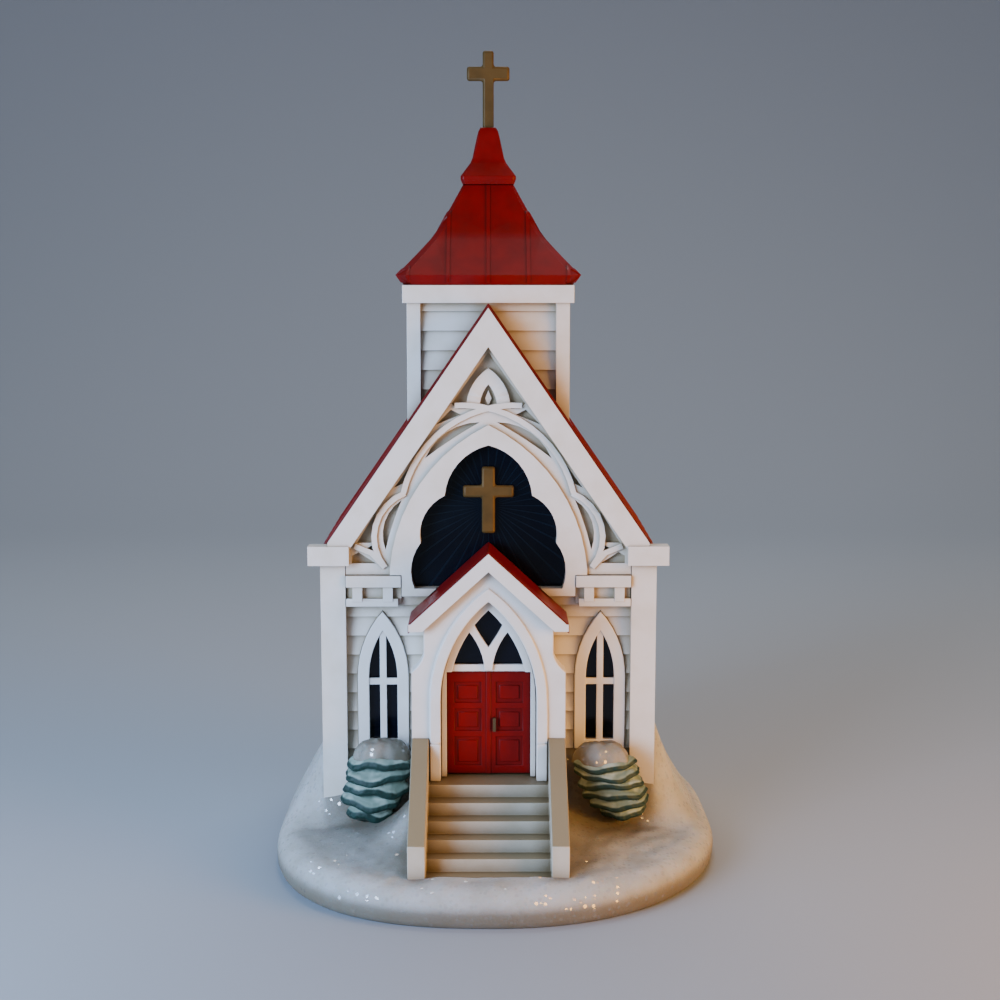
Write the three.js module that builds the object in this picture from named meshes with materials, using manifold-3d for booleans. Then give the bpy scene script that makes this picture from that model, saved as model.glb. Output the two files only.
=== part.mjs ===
import * as THREE from 'three';
import { mergeVertices } from 'three/addons/utils/BufferGeometryUtils.js';
import Module from 'manifold-3d';

// A small lit church ornament on a snow mound: white clapboard walls, red roofs,
// a square tower with a bell-cast spire, and a battery lamp inside.
// Millimetres, +Z up. While it is drawn, X = 0 is the church's centreline, Y = 0 is the
// face of the front wall and the viewer stands at -Y; the last lines move the origin
// to the middle of the underside.

const wasm = await Module();
wasm.setup();

// Fits
const SEAT = 0.1; // between two glued pieces
const RUN = 0.3; // round a piece that drops in or moves
const BITE = 0.4; // how far two shapes of one moulding run into each other
const FAR = 200; // past the whole part, for the ends of cutting tools

// Snow base
const BASE_HALF_X = 29.7;
const BASE_HALF_Y = 30.3;
const BASE_CENTRE_X = 1;
const BASE_CENTRE_Y = 3.1;
const BASE_SQUARE_LEFT = 2.5; // how square the outline is on the left
const BASE_SQUARE_RIGHT = 2.1; // on the right
const BASE_SQUARE_BACK = 4; // and at the back
const RIM_HEIGHT = 4.4;
const SNOW_SLOPE = 0.19;
const DRIFT_LEFT = 9.5;
const DRIFT_RIGHT = 13.5;
const DRIFT_REACH = 6.6;
const FOOT = 3.8; // underside of every wall, where it stands in the base
const BASE_HOLLOW = 2.6; // top of the flat hollow over the bottom plate
const BASE_RIM = 2.6; // width of the rim that stays round the hollow
const BASE_SIDES = 52;
const RIM_ROUND = 4; // the snow rounds over within this distance of its edge
const RIM_LEAST = 1.9;

// Walls
const WALL = 1.8;
const NAVE_HALF = 21.3;
const NAVE_BACK = 27;
const POST_OUT = 22.3;
const POST_IN = 19;
const POST_PROUD = 1.5;
const REAR_PROUD = 0.9;
const SIDE_BOARD = 2.6;
const BOARD_PITCH = 2.6;
const BOARD_PROUD = 0.45;
const GABLE_FOOT = 34.4;

// Main roof
const RIDGE = 74.1;
const ROOF_FALL = 1.449; // drop of the slope for each millimetre outwards
const ROOF_EAVE = 22.6;
const ROOF_THICK = 1.41; // measured straight down
const ROOF_BACK = 28.6;
const SEAM_PITCH = 5.3;
const SEAM_PROUD = 0.15;
const SEAM_WIDTH = 0.5;

// Gable front
const PANEL_PROUD = 0.5;
const TRACERY_PROUD = 1.4;
const RIB = { half: 0.36, proud: 0.35 };
const SURROUND_PROUD = 1.9;
const RAKE_PROUD = 2.5;
const RAKE_TOP = RIDGE - 0.3;
const RAKE_INNER = RAKE_TOP - 5;
const RAKE_END = 21.2;
const RETURN_OUT = 23.8;
const RETURN_IN = 18.4;
const RETURN_TOP = 42.65;
const RETURN_FOOT = 40.1;
const RETURN_PROUD = 2.8;

// Gable window
const GLASS = 1;
const LOBE_APEX = [0, 55.95];
const LOBE_1 = [4.6, 52.7];
const CUSP_1 = [5.75, 49.3];
const LOBE_2 = [8.2, 47.1];
const CUSP_2 = [8.95, 43];
const LOBE_3 = [10.25, 39.4];
const WINDOW_CORNER = [9.8, 36.85];
const ARCH_APEX = [0, 58.62];
const ARCH_SIDE = [7.6, 52.7];
const ARCH_SPRING = [13.05, 39.5];
const WINDOW_CROSS_TOP = LOBE_APEX[1] - 2.95;
const WINDOW_CROSS = {
  top: WINDOW_CROSS_TOP,
  armTop: WINDOW_CROSS_TOP - 2.5,
  armFoot: WINDOW_CROSS_TOP - 4.1,
  foot: WINDOW_CROSS_TOP - 8.9,
  shaft: 1.74,
  span: 6.74,
  thick: 0.8,
};

// Lancet windows
const LANCET = { x: 14.55, shift: 0.4, half: 3.4, sill: 14.6, spring: 24.6, apex: 33.5 };
const LANCET_LIGHT = { half: 1.9, sill: 15.9, spring: 24.6, apex: 31 };
const SIDE_LANCET = { half: 2.9, sill: 15.2, spring: 26, apex: 34 };
const SIDE_LIGHT = { half: 1.6, sill: 16.4, spring: 26, apex: 31.2 };
const SIDE_LANCET_AT = [8.5, 20.5];
const REAR_LANCET = { half: 4.6, sill: 27, spring: 41, apex: 52 };
const REAR_LIGHT = { half: 3, sill: 28.6, spring: 41, apex: 49 };
const FRAME_PROUD = 0.8;
const BAR = 0.88;
const BAR_AT = 23.95;
const REAR_BAR_AT = 38.5;

// String courses
const COURSE_TOP = 38.6;
const COURSE_UNDER = 37.05;
const COURSE_LOW = 35.45;
const COURSE_FOOT = 34.3;
const COURSE_IN = 11.6;
const COURSE_PROUD = 1.5;
const BRACKET = 1.3;

// Porch
const PORCH_FRONT = 8;
const PORCH_HALF = 8.4;
const PORCH_WALL = 2;
const BUTTRESS_OUT = 10;
const BUTTRESS_DEEP = 3;
const SHOULDER_TOP = 29.4;
const SHOULDER_FOOT = 27.1;
const SHOULDER_BOW = { x: 9, z: 28.1 }; // where the curved shoulder passes between them
const PORCH_RIDGE = 43;
const PORCH_FALL = 0.916;
const PORCH_EAVE = 10.4;
const PORCH_SHEET = 1.2;
const PORCH_RAKE_TOP = 42.8;
const PORCH_RAKE_INNER = 40.5;
const PORCH_RAKE_FRONT = 9.3;
const PORCH_RAKE_BACK = 8.9;
const PORCH_EAVE_FOOT = 32.7;
const DOOR_ARCH = { half: 6.25, spring: 23.2, apex: 36.4 };
const FRAME_WIDTH = 1.05;
const FRAME_FRONT = 6.9;
const FRAME_BACK = 5.9;
const TRANSOM_TOP = 27.7;
const TRANSOM_FOOT = 26.8;
const JAMB_HALF = 5.5; // clear width between the jambs, beside the doors
const BOW_OUTER = [[0.48, 27], [1.28, 30.15], [2.75, 32.4]]; // outer edge of each curved bar over the doors
const BOW_INNER = [[2.05, 33.45], [0.96, 31.45], [-0.1, 29.95]]; // and its inner edge, back to the middle
const CASING = { wide: 1.4, proud: 0.35 }; // raised band round the door arch
const PLINTH = { top: 17.6, proud: 0.7 }; // block under each end of the band
const DOOR_HALF = 5.9;
const DOOR_FRONT = 5.8;
const DOOR_THICK = 1;
const DOORWAY = { half: 5, apex: 33 }; // opening behind the porch, through the front wall
const OPENING_REACH = 5; // the front wall's openings are cut this far to each side of its face
const PANEL_RAISE = 0.2;
const MEETING_BEAD = { half: 0.3, proud: 0.12 }; // strip where the two door leaves meet
const PANEL_BAYS = [[13.9, 17.8], [18.6, 21.6], [22.4, 25.2]];
const HANDLE = { x: 0.75, foot: 18.6, top: 20.4, wide: 0.4, proud: 0.45 };

// Stairs
const LANDING = 12.6;
const LANDING_FRONT = 10.05;
const STEPS = 5;
const STEP_RUN = 2.25;
const STEP_RISE = 1.65;
const CHEEK_IN = 7.8;
const CHEEK_OUT = 10;
const CHEEK_TOP = 18.3;
const CHEEK_END = 8.67;
const STAIR_FRONT = 22;

// Tower and spire
const TOWER_AXIS = 13.8;
const TOWER_POST = 10.8;
const TOWER_POST_IN = 9;
const TOWER_CORE = 9.8;
const TOWER_VOID = 8;
const TOWER_TOP = RIDGE + 2.6;
const CORNICE = 11.35;
const CORNICE_FOOT = TOWER_TOP - 2.35;
const EAVE_HALF = 12.1;
const EAVE_RISE = 1.3; // from the tower's top to the spire's eaves
const SPIRE_RISE = 13.3;
const SPIRE_TOP = TOWER_TOP + SPIRE_RISE;
const SPIRE_TOP_HALF = 3.45;
const SPIRE_FOOT_HALF = 11.2;
const SPIRE_KNEE = { half: 7.1, rise: 6.55, soft: 0.6 }; // where the steep top flares towards the eaves
const SPIRE_SEAM = 0.15; // how far the spire's seams stand proud
const SPIRE_WALL = 1.6;
const REGISTER = 1.5; // depth of the ring that locates the spire in the tower
const HIP_CUT = 0.1; // share of each corner that is cut off
const PEG = 1.4; // half-width and depth of the peg that joins the cap to the spire
const CAP_RISE = 7.85;
const CAP_TOP = SPIRE_TOP + CAP_RISE;
const SPIRE_CROSS_TOP = CAP_TOP + 10.25;
const SPIRE_CROSS = {
  top: SPIRE_CROSS_TOP,
  armTop: SPIRE_CROSS_TOP - 2.1,
  armFoot: SPIRE_CROSS_TOP - 4,
  shaft: 1.5,
  span: 5.8,
  thick: 0.9,
  tenon: 1.6,
};

// Hanger at the back of the spire
const HANGER_Z = SPIRE_TOP - 2.4;
const HANGER_OFF = 6.4; // pivot from the tower's axis
const WIRE = 0.8;
const LOOP_HALF = 2.1;
const LOOP_LEAN = 27; // degrees from straight down, away from the spire
const LOOP_CORNER = 1;
const LOOP_LONG = 4.6;
const LUG = 1.5;

// Shrubs
const SHRUB_LEFT = {
  x: -14.1, lean: -1.9, y: -5.1, halfX: 4.6, halfY: 3.1, foot: 7, top: 15.4, tiers: 5, snowTop: 18,
};
const SHRUB_RIGHT = {
  x: 14.9, lean: 3.1, y: -5.2, halfX: 4.6, halfY: 3.1, foot: 6.3, top: 14.7, tiers: 6, snowTop: 17.4,
};
const SNOW_CAP = { deep: 4.4, wide: 0.88, skirt: 0.4 };

// Battery, lamp and button
const CELL_R = 5.8;
const CELL_LONG = 5.4;
const CELLS = 3;
const WELL_Y = 13;
const WELL_WALL = 1.2;
const PLATE = 2;
const DOOR = 1.2;
const CONTACT_ROOM = 1.5;
const CONTACT = 0.3;
const BOARD = 1;
const BOARD_HALF = 9;
const BOARD_FRONT = 6.4;
const BOARD_BACK = 23.4;
const SWITCH = { half: 3, high: 4, deep: 3.6, back: 22.9, stemR: 1.6, stemIn: 1 };
const BUTTON_R = 2.5;
const BUTTON_PROUD = 1;
const FLANGE = 0.8;
const FLANGE_R = 3.4;
const BOARD_SCREW = { r: 0.7, headR: 1.6, head: 0.8, x: 7 };
const LAMP = { y: 11, r: 1.5, flangeR: 1.9, leads: 3, body: 5.2, apart: 0.9, wire: 0.4 };
const SCREW = { r: 0.9, headR: 1.9, head: 0.9, long: 3.5, sink: 0.25 };
const SCREW_INSET = { side: 12.2, front: 16.2 }; // from the ends of the base
const REAR_SCREW_GAP = 4; // from the battery door's back edge to the rear plate screw
// rounded back edge of the battery door, and its pins
const HINGE = { r: 0.75, z: 0.9, pinR: 0.45, pin: 0.8 };
const DOOR_SCREW = { r: 0.8, headR: 1.7, head: 0.7, long: 2.3, sink: 0.1, room: 0.4 };

const finish = (colour, roughness, metalness = 0) => ({ color: colour, roughness, metalness });
const WHITE = finish(0xe9e7e2, 0.5);
const SNOW = finish(0xf2f4f6, 0.75);
const RED = finish(0x9c1410, 0.35);
const GOLD = finish(0x8a6a2a, 0.45, 0.6);
const NAVY = finish(0x141a2e, 0.2);
const GREEN = finish(0x1f5a4a, 0.7);
const PLASTIC = finish(0xdad9d4, 0.6);
const STEEL = finish(0xb8babd, 0.35, 1);
const NICKEL = finish(0xd0d1cf, 0.3, 1);
const BRASS = finish(0xb08d3c, 0.35, 1);
const BOARD_GREEN = finish(0x1d5b37, 0.5);
const BLACK = finish(0x1c1c1e, 0.5);
const AMBER = finish(0xf2e6c4, 0.15);

// Helpers

function manifold(geometry) {
  geometry.deleteAttribute('normal');
  geometry.deleteAttribute('uv');
  const merged = mergeVertices(geometry, 1e-4);
  const corners = merged.index.array;
  const kept = [];
  for (let i = 0; i < corners.length; i += 3) {
    const [a, b, c] = [corners[i], corners[i + 1], corners[i + 2]];
    if (a !== b && b !== c && c !== a) kept.push(a, b, c);
  }
  return new wasm.Manifold(new wasm.Mesh({
    numProp: 3,
    vertProperties: new Float32Array(merged.attributes.position.array),
    triVerts: new Uint32Array(kept),
  }));
}

function geometryOf(solid) {
  const data = solid.getMesh();
  const geometry = new THREE.BufferGeometry();
  geometry.setAttribute('position', new THREE.BufferAttribute(new Float32Array(data.vertProperties), 3));
  geometry.setIndex(new THREE.BufferAttribute(new Uint32Array(data.triVerts), 1));
  geometry.computeVertexNormals();
  return geometry;
}

const join = (...solids) => solids.reduce((all, next) => all.add(next));
const cut = (solid, ...tools) => tools.reduce((left, tool) => left.subtract(tool), solid);
const both = (make) => join(make(-1), make(1));

function piece(name, solid, look) {
  const mesh = new THREE.Mesh(geometryOf(solid), new THREE.MeshStandardMaterial(look));
  mesh.name = name;
  return mesh;
}

// An outline swept along an axis: 'y' reads it as (x, z), 'x' as (y, z), 'z' as (x, y).
const TURN = {
  x: new THREE.Matrix4().set(0, 0, 1, 0, 1, 0, 0, 0, 0, 1, 0, 0, 0, 0, 0, 1),
  y: new THREE.Matrix4().set(1, 0, 0, 0, 0, 0, -1, 0, 0, 1, 0, 0, 0, 0, 0, 1),
  z: new THREE.Matrix4(),
};

function prism(outline, axis, from, to) {
  const shape = new THREE.Shape(outline.map(([u, v]) => new THREE.Vector2(u, v)));
  const geometry = new THREE.ExtrudeGeometry(shape, { depth: to - from, bevelEnabled: false });
  geometry.applyMatrix4(TURN[axis]);
  const start = axis === 'y' ? to : from;
  geometry.translate(axis === 'x' ? start : 0, axis === 'y' ? start : 0, axis === 'z' ? start : 0);
  return manifold(geometry);
}

function block(x0, x1, y0, y1, z0, z1) {
  const geometry = new THREE.BoxGeometry(x1 - x0, y1 - y0, z1 - z0);
  geometry.translate((x0 + x1) / 2, (y0 + y1) / 2, (z0 + z1) / 2);
  return manifold(geometry);
}

function rod(radius, axis, from, to, a, b, sides = 24) {
  const geometry = new THREE.CylinderGeometry(radius, radius, to - from, sides);
  if (axis === 'z') geometry.rotateX(Math.PI / 2);
  if (axis === 'x') geometry.rotateZ(Math.PI / 2);
  const middle = (from + to) / 2;
  const place = { x: [middle, a, b], y: [a, middle, b], z: [a, b, middle] }[axis];
  geometry.translate(...place);
  return manifold(geometry);
}

// Rings of points joined into one closed skin, with a fan over each end.
function loft(rings, closed = false) {
  const count = rings[0].length;
  const points = rings.flat(2);
  const index = [];
  const bands = closed ? rings.length : rings.length - 1;
  for (let ring = 0; ring < bands; ring += 1) {
    const next = ((ring + 1) % rings.length) * count;
    for (let i = 0; i < count; i += 1) {
      const j = (i + 1) % count;
      const a = ring * count;
      index.push(a + i, a + j, next + i, a + j, next + j, next + i);
    }
  }
  const addEnd = (ring, start, flip) => {
    const centre = [0, 1, 2].map((k) => ring.reduce((sum, p) => sum + p[k], 0) / count);
    const hub = points.length / 3;
    points.push(...centre);
    for (let i = 0; i < count; i += 1) {
      const a = start + i;
      const b = start + ((i + 1) % count);
      index.push(...(flip ? [hub, b, a] : [hub, a, b]));
    }
  };
  if (!closed) {
    addEnd(rings[0], 0, true);
    addEnd(rings[rings.length - 1], (rings.length - 1) * count, false);
  }
  const geometry = new THREE.BufferGeometry();
  geometry.setAttribute('position', new THREE.BufferAttribute(new Float32Array(points), 3));
  geometry.setIndex(index);
  return manifold(geometry);
}

// Points of the circular arc that runs from a, by way of b, to c.
function arc(a, b, c, steps = 8) {
  const d = 2 * (a[0] * (b[1] - c[1]) + b[0] * (c[1] - a[1]) + c[0] * (a[1] - b[1]));
  const square = ([u, v]) => u * u + v * v;
  const cu = (square(a) * (b[1] - c[1]) + square(b) * (c[1] - a[1]) + square(c) * (a[1] - b[1])) / d;
  const cv = (square(a) * (c[0] - b[0]) + square(b) * (a[0] - c[0]) + square(c) * (b[0] - a[0])) / d;
  const radius = Math.hypot(a[0] - cu, a[1] - cv);
  const angle = ([u, v]) => Math.atan2(v - cv, u - cu);
  const whole = 2 * Math.PI;
  const turn = (to) => (((to - angle(a)) % whole) + whole) % whole;
  const forward = turn(angle(b)) < turn(angle(c));
  const sweep = forward ? turn(angle(c)) : turn(angle(c)) - whole;
  return Array.from({ length: steps + 1 }, (_, i) => {
    const t = angle(a) + (sweep * i) / steps;
    return [cu + radius * Math.cos(t), cv + radius * Math.sin(t)];
  });
}

const mirror = (points) => points.map(([u, v]) => [-u, v]);
const shifted = (points, du) => points.map(([u, v]) => [u + du, v]);

// A closed outline from its right half, listed from the top down to the foot.
function symmetric(right) {
  const left = mirror(right).reverse();
  return [...right, ...left].filter(([u, v], i, all) => {
    const [pu, pv] = all[(i + all.length - 1) % all.length];
    return Math.hypot(u - pu, v - pv) > 1e-6;
  }).reverse();
}

// A pointed arch whose two arcs are struck from its springing line.
function lancet({ half, sill, spring, apex }, steps = 7) {
  const rise = apex - spring;
  const centre = (half * half - rise * rise) / (2 * half);
  const radius = half - centre;
  const end = Math.atan2(rise, -centre);
  const side = Array.from({ length: steps + 1 }, (_, i) => {
    const t = end * (1 - i / steps);
    return [centre + radius * Math.cos(t), spring + radius * Math.sin(t)];
  });
  return symmetric([...side, [half, sill]]);
}

// Everything under a pair of roof slopes.
const underSlopes = (ridge, fall, half, foot) => symmetric(
  [[0, ridge], [half, ridge - fall * half], [half, foot]],
);

// Everything over a pair of roof slopes.
const overSlopes = (ridge, fall, half, top) => symmetric(
  [[half, top], [half, ridge - fall * half], [0, ridge]],
);

// A band along a pair of roof slopes.
const slopeBand = (top, under, fall, half) => symmetric([
  [0, top], [half, top - fall * half], [half, under - fall * half], [0, under],
]);

function cross({ top, shaft, span, armTop, armFoot }, foot) {
  const w = shaft / 2;
  const s = span / 2;
  return symmetric([[0, top], [w, top], [w, armTop], [s, armTop], [s, armFoot], [w, armFoot], [w, foot]]);
}

// Clapboards as a saw-tooth: each board's foot stands proud of the one below.
function boards(face, proud, foot, top) {
  const count = Math.ceil((top - foot) / BOARD_PITCH);
  const teeth = [];
  for (let i = 0; i < count; i += 1) {
    const z = foot + i * BOARD_PITCH;
    teeth.push([face + proud, z], [face, Math.min(z + BOARD_PITCH, top)]);
  }
  return teeth;
}

// Snow base

function baseRadius(angle) {
  const c = Math.cos(angle);
  const s = Math.sin(angle);
  const front = c < 0 ? BASE_SQUARE_LEFT : BASE_SQUARE_RIGHT;
  const n = s > 0 ? BASE_SQUARE_BACK : front;
  return (Math.abs(c / BASE_HALF_X) ** n + Math.abs(s / BASE_HALF_Y) ** n) ** (-1 / n);
}

function smoothStep(from, to, value) {
  const t = Math.min(1, Math.max(0, (value - from) / (to - from)));
  return t * t * (3 - 2 * t);
}

// Snow blown against the side walls, higher on the right.
function drift(x, y) {
  const high = x < 0 ? DRIFT_LEFT : DRIFT_RIGHT;
  const near = 1 - Math.min(1, Math.max(0, (Math.abs(x) - POST_OUT) / DRIFT_REACH));
  const along = smoothStep(-5, 4, y) * (1 - smoothStep(NAVE_BACK - 7, NAVE_BACK + 3, y));
  return high * near ** 1.5 * along;
}

function snowHeight(x, y, inset) {
  const rim = RIM_HEIGHT * Math.min(1, Math.max(0, inset / RIM_ROUND)) ** 0.28;
  return Math.max(rim, RIM_LEAST) + SNOW_SLOPE * Math.max(0, inset - RIM_ROUND) + drift(x, y);
}

function snowMound(lift) {
  const around = Array.from({ length: BASE_SIDES }, (_, i) => (2 * Math.PI * i) / BASE_SIDES);
  const ringAt = (inset, height) => around.map((angle) => {
    const r = Math.max(0.5, baseRadius(angle) - inset);
    const x = BASE_CENTRE_X + r * Math.cos(angle);
    const y = BASE_CENTRE_Y + r * Math.sin(angle);
    return [x, y, (height ?? snowHeight(x, y, inset)) + lift];
  });
  const edge = [[0.8, 0], [0.2, 0.8]];
  const insets = [0, 0.3, 1, 2.2, 3.4, 4.6, 5.8, 7, 9.5, 14, 20];
  return loft([...edge.map(([inset, z]) => ringAt(inset, z)), ...insets.map((inset) => ringAt(inset))]);
}

const wellHalf = (CELLS * CELL_LONG) / 2 + CONTACT_ROOM;
const cellZ = DOOR + RUN + CELL_R;
const wellTop = cellZ + CELL_R + RUN + WELL_WALL;
const wellInY = CELL_R + RUN;

function baseOutline(inset) {
  return Array.from({ length: BASE_SIDES }, (_, i) => {
    const angle = (2 * Math.PI * i) / BASE_SIDES;
    const r = baseRadius(angle) - inset;
    return [BASE_CENTRE_X + r * Math.cos(angle), BASE_CENTRE_Y + r * Math.sin(angle)];
  });
}

function snowBase() {
  const outX = POST_OUT + SEAT;
  const naveSpace = block(-outX, outX, -POST_PROUD - SEAT, NAVE_BACK + REAR_PROUD + SEAT, FOOT, FAR);
  const porchX = BUTTRESS_OUT + SEAT;
  const porchSpace = block(-porchX, porchX, -STAIR_FRONT - SEAT, 0, FOOT, FAR);
  const hollow = prism(baseOutline(BASE_RIM), 'z', -1, BASE_HOLLOW);
  const wellX = wellHalf + WELL_WALL + RUN;
  const wellY = wellInY + WELL_WALL + RUN;
  const wellSpace = block(-wellX, wellX, WELL_Y - wellY, WELL_Y + wellY, 0, FAR);
  const tip = SCREW.sink + SCREW.long;
  const bosses = PLATE_SCREWS.map(([x, y]) => rod(SCREW.r + 1.2, 'z', PLATE, tip + 0.6, x, y, 20));
  const pilots = PLATE_SCREWS.map(([x, y]) => rod(SCREW.r + RUN / 2, 'z', 0, tip + RUN, x, y, 16));
  const bossSpace = rod(doorBossR + RUN, 'z', 0, FAR, 0, doorScrewY, 20);
  const shell = cut(snowMound(0), hollow, naveSpace, porchSpace, wellSpace, bossSpace);
  return cut(join(shell, ...bosses), ...pilots);
}

// Bottom plate with the battery well, its door, cells and contacts

const doorHalfX = wellHalf - 0.2;
const doorFront = WELL_Y - wellInY + 0.2;
const doorBack = WELL_Y + wellInY - 0.2;
const doorScrewY = doorFront - 2.3;
const earHalf = 3.4;
const earFront = doorScrewY - 2.3;
const hingeY = doorBack - HINGE.r;
const PLATE_SCREWS = [
  [SCREW_INSET.side - BASE_HALF_X, BASE_CENTRE_Y - BASE_HALF_Y + SCREW_INSET.front],
  [BASE_HALF_X - SCREW_INSET.side, BASE_CENTRE_Y - BASE_HALF_Y + SCREW_INSET.front],
  [0, doorBack + REAR_SCREW_GAP],
];
const slotX = wellHalf - 0.6;
const boardScrewY = BOARD_FRONT + 2;
const doorBossR = DOOR_SCREW.r + DOOR_SCREW.room + 0.9;

function bottomPlate() {
  const plate = prism(baseOutline(BASE_RIM + RUN), 'z', 0, PLATE);
  const outX = wellHalf + WELL_WALL;
  const outY = wellInY + WELL_WALL;
  const well = block(-outX, outX, WELL_Y - outY, WELL_Y + outY, PLATE - BITE, wellTop);
  const room = block(-wellHalf, wellHalf, WELL_Y - wellInY, WELL_Y + wellInY, -1, wellTop - WELL_WALL);
  const screwBoss = rod(doorBossR, 'z', PLATE - BITE, PLATE + 1.6, 0, doorScrewY, 20);
  const screwHole = rod(DOOR_SCREW.r + DOOR_SCREW.room, 'z', 0, PLATE + 1, 0, doorScrewY, 16);
  const earSpace = block(-earHalf - RUN, earHalf + RUN, earFront - RUN, doorFront + 1, -1, DOOR + SEAT);
  const pinEnd = doorHalfX + HINGE.pin + RUN;
  const pinRoom = rod(HINGE.pinR + RUN / 2, 'x', -pinEnd, pinEnd, hingeY, HINGE.z, 16);
  const slots = both(
    (side) => block(
      side * slotX - 0.45, side * slotX + 0.45, WELL_Y - 2.3, WELL_Y + 2.3, wellTop - 3, wellTop + 1,
    ),
  );
  const boardPilots = both(
    (side) => rod(
      BOARD_SCREW.r + 0.2, 'z', wellTop - 0.9, wellTop + 1, side * BOARD_SCREW.x, boardScrewY, 16,
    ),
  );
  const headRoom = PLATE_SCREWS.map(
    ([x, y]) => rod(SCREW.headR + RUN, 'z', -1, SCREW.sink + SCREW.head + 0.05, x, y, 20),
  );
  const shankRoom = PLATE_SCREWS.map(([x, y]) => rod(SCREW.r + RUN, 'z', -1, PLATE + 1, x, y, 16));
  const solid = join(plate, well, screwBoss);
  return cut(solid, room, earSpace, pinRoom, screwHole, slots, boardPilots, ...headRoom, ...shankRoom);
}

function batteryDoor() {
  const leaf = block(-doorHalfX, doorHalfX, doorFront, hingeY, 0, DOOR);
  const edge = rod(HINGE.r, 'x', -doorHalfX, doorHalfX, hingeY, HINGE.z, 20);
  const pins = rod(HINGE.pinR, 'x', -doorHalfX - HINGE.pin, doorHalfX + HINGE.pin, hingeY, HINGE.z, 16);
  const ear = block(-earHalf, earHalf, earFront, doorFront + BITE, 0, DOOR);
  const head = rod(
    DOOR_SCREW.headR + 0.15, 'z', -1, DOOR_SCREW.sink + DOOR_SCREW.head + 0.05, 0, doorScrewY, 20,
  );
  const shank = rod(DOOR_SCREW.r + 0.15, 'z', -1, PLATE, 0, doorScrewY, 16);
  const grips = Array.from(
    { length: 4 }, (_, i) => block(-4, 4, WELL_Y - 3.1 + 2 * i, WELL_Y - 2.6 + 2 * i, -1, 0.25),
  );
  return cut(join(leaf, edge, pins, ear), head, shank, ...grips);
}

// A pan-head screw standing head down, with a cross slot in its head.
function screw({ r, headR, head, long, sink }, x, y) {
  const z = sink;
  const body = join(
    rod(headR, 'z', z, z + head, x, y, 16), rod(r, 'z', z + head - 0.1, z + long, x, y, 10),
  );
  const slotLong = headR * 1.2;
  const slots = [
    block(x - slotLong / 2, x + slotLong / 2, y - 0.2, y + 0.2, z - 1, z + head / 2),
    block(x - 0.2, x + 0.2, y - slotLong / 2, y + slotLong / 2, z - 1, z + head / 2),
  ];
  return cut(body, ...slots);
}

function cell(order) {
  const start = -wellHalf + CONTACT_ROOM + order * CELL_LONG;
  const gap = 0.03;
  const can = rod(CELL_R, 'x', start + gap, start + CELL_LONG - 0.6, WELL_Y, cellZ, 28);
  const cap = rod(CELL_R - 1.3, 'x', start + CELL_LONG - 0.7, start + CELL_LONG - gap, WELL_Y, cellZ, 28);
  return join(can, cap);
}

function flatContact() {
  const x = -wellHalf + CONTACT_ROOM - SEAT;
  const plate = block(x - CONTACT, x, WELL_Y - 3.5, WELL_Y + 3.5, cellZ - 3.5, wellTop - 2);
  const neck = block(x - CONTACT - 0.6, x, WELL_Y - 2, WELL_Y + 2, wellTop - 2.3, wellTop - 2);
  const tab = block(
    -wellHalf + 0.45, -wellHalf + 0.45 + CONTACT, WELL_Y - 2, WELL_Y + 2, wellTop - 2.3,
    wellTop + BOARD + 0.8,
  );
  return join(plate, neck, tab);
}

// A strip bent into a bow that presses on the last cell.
function springContact() {
  const end = wellHalf - CONTACT_ROOM + SEAT;
  const wall = wellHalf - 0.75;
  const bow = arc([wall, cellZ - 4], [end, cellZ], [wall, cellZ + 4], 8);
  const back = bow.map(([x, z]) => [x + CONTACT, z]).reverse();
  const strip = prism([...bow, ...back], 'y', WELL_Y - 2, WELL_Y + 2);
  const tab = block(wall, wall + CONTACT, WELL_Y - 2, WELL_Y + 2, cellZ + 3.9, wellTop + BOARD + 0.8);
  return join(strip, tab);
}

// Circuit board, switch, button and lamp

const boardTop = wellTop + BOARD;
const stemZ = boardTop + SWITCH.high / 2;
const stemTip = NAVE_BACK - WALL - RUN / 2 - FLANGE;

function circuitBoard() {
  const board = block(-BOARD_HALF, BOARD_HALF, BOARD_FRONT, BOARD_BACK, wellTop, boardTop);
  const notches = both(
    (side) => block(
      side * slotX - 0.45, side * slotX + 0.45, WELL_Y - 2.3, WELL_Y + 2.3, wellTop - 1, boardTop + 1,
    ),
  );
  const holes = both(
    (side) => rod(
      BOARD_SCREW.r + RUN, 'z', wellTop - 1, boardTop + 1, side * BOARD_SCREW.x, boardScrewY, 16,
    ),
  );
  const leadHoles = both((side) => block(
    side * LAMP.apart - 0.4, side * LAMP.apart + 0.4, LAMP.y - 0.4, LAMP.y + 0.4,
    boardTop - 0.6, boardTop + 1,
  ));
  return cut(board, notches, holes, leadHoles);
}

function boardScrew(side) {
  const x = side * BOARD_SCREW.x;
  const y = boardScrewY;
  const head = rod(BOARD_SCREW.headR, 'z', boardTop, boardTop + BOARD_SCREW.head, x, y, 16);
  const shank = rod(BOARD_SCREW.r, 'z', wellTop - 0.7, boardTop + SEAT, x, y, 12);
  const slot = block(x - 1.1, x + 1.1, y - 0.2, y + 0.2, boardTop + 0.4, boardTop + 2);
  return cut(join(head, shank), slot);
}

function lightSwitch() {
  const body = block(
    -SWITCH.half, SWITCH.half, SWITCH.back - SWITCH.deep, SWITCH.back, boardTop, boardTop + SWITCH.high,
  );
  const bore = rod(SWITCH.stemR + RUN, 'y', SWITCH.back - SWITCH.stemIn - 1, SWITCH.back + 1, 0, stemZ);
  return cut(body, bore);
}

const switchStem = () => rod(SWITCH.stemR, 'y', SWITCH.back - SWITCH.stemIn, stemTip, 0, stemZ);

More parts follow.
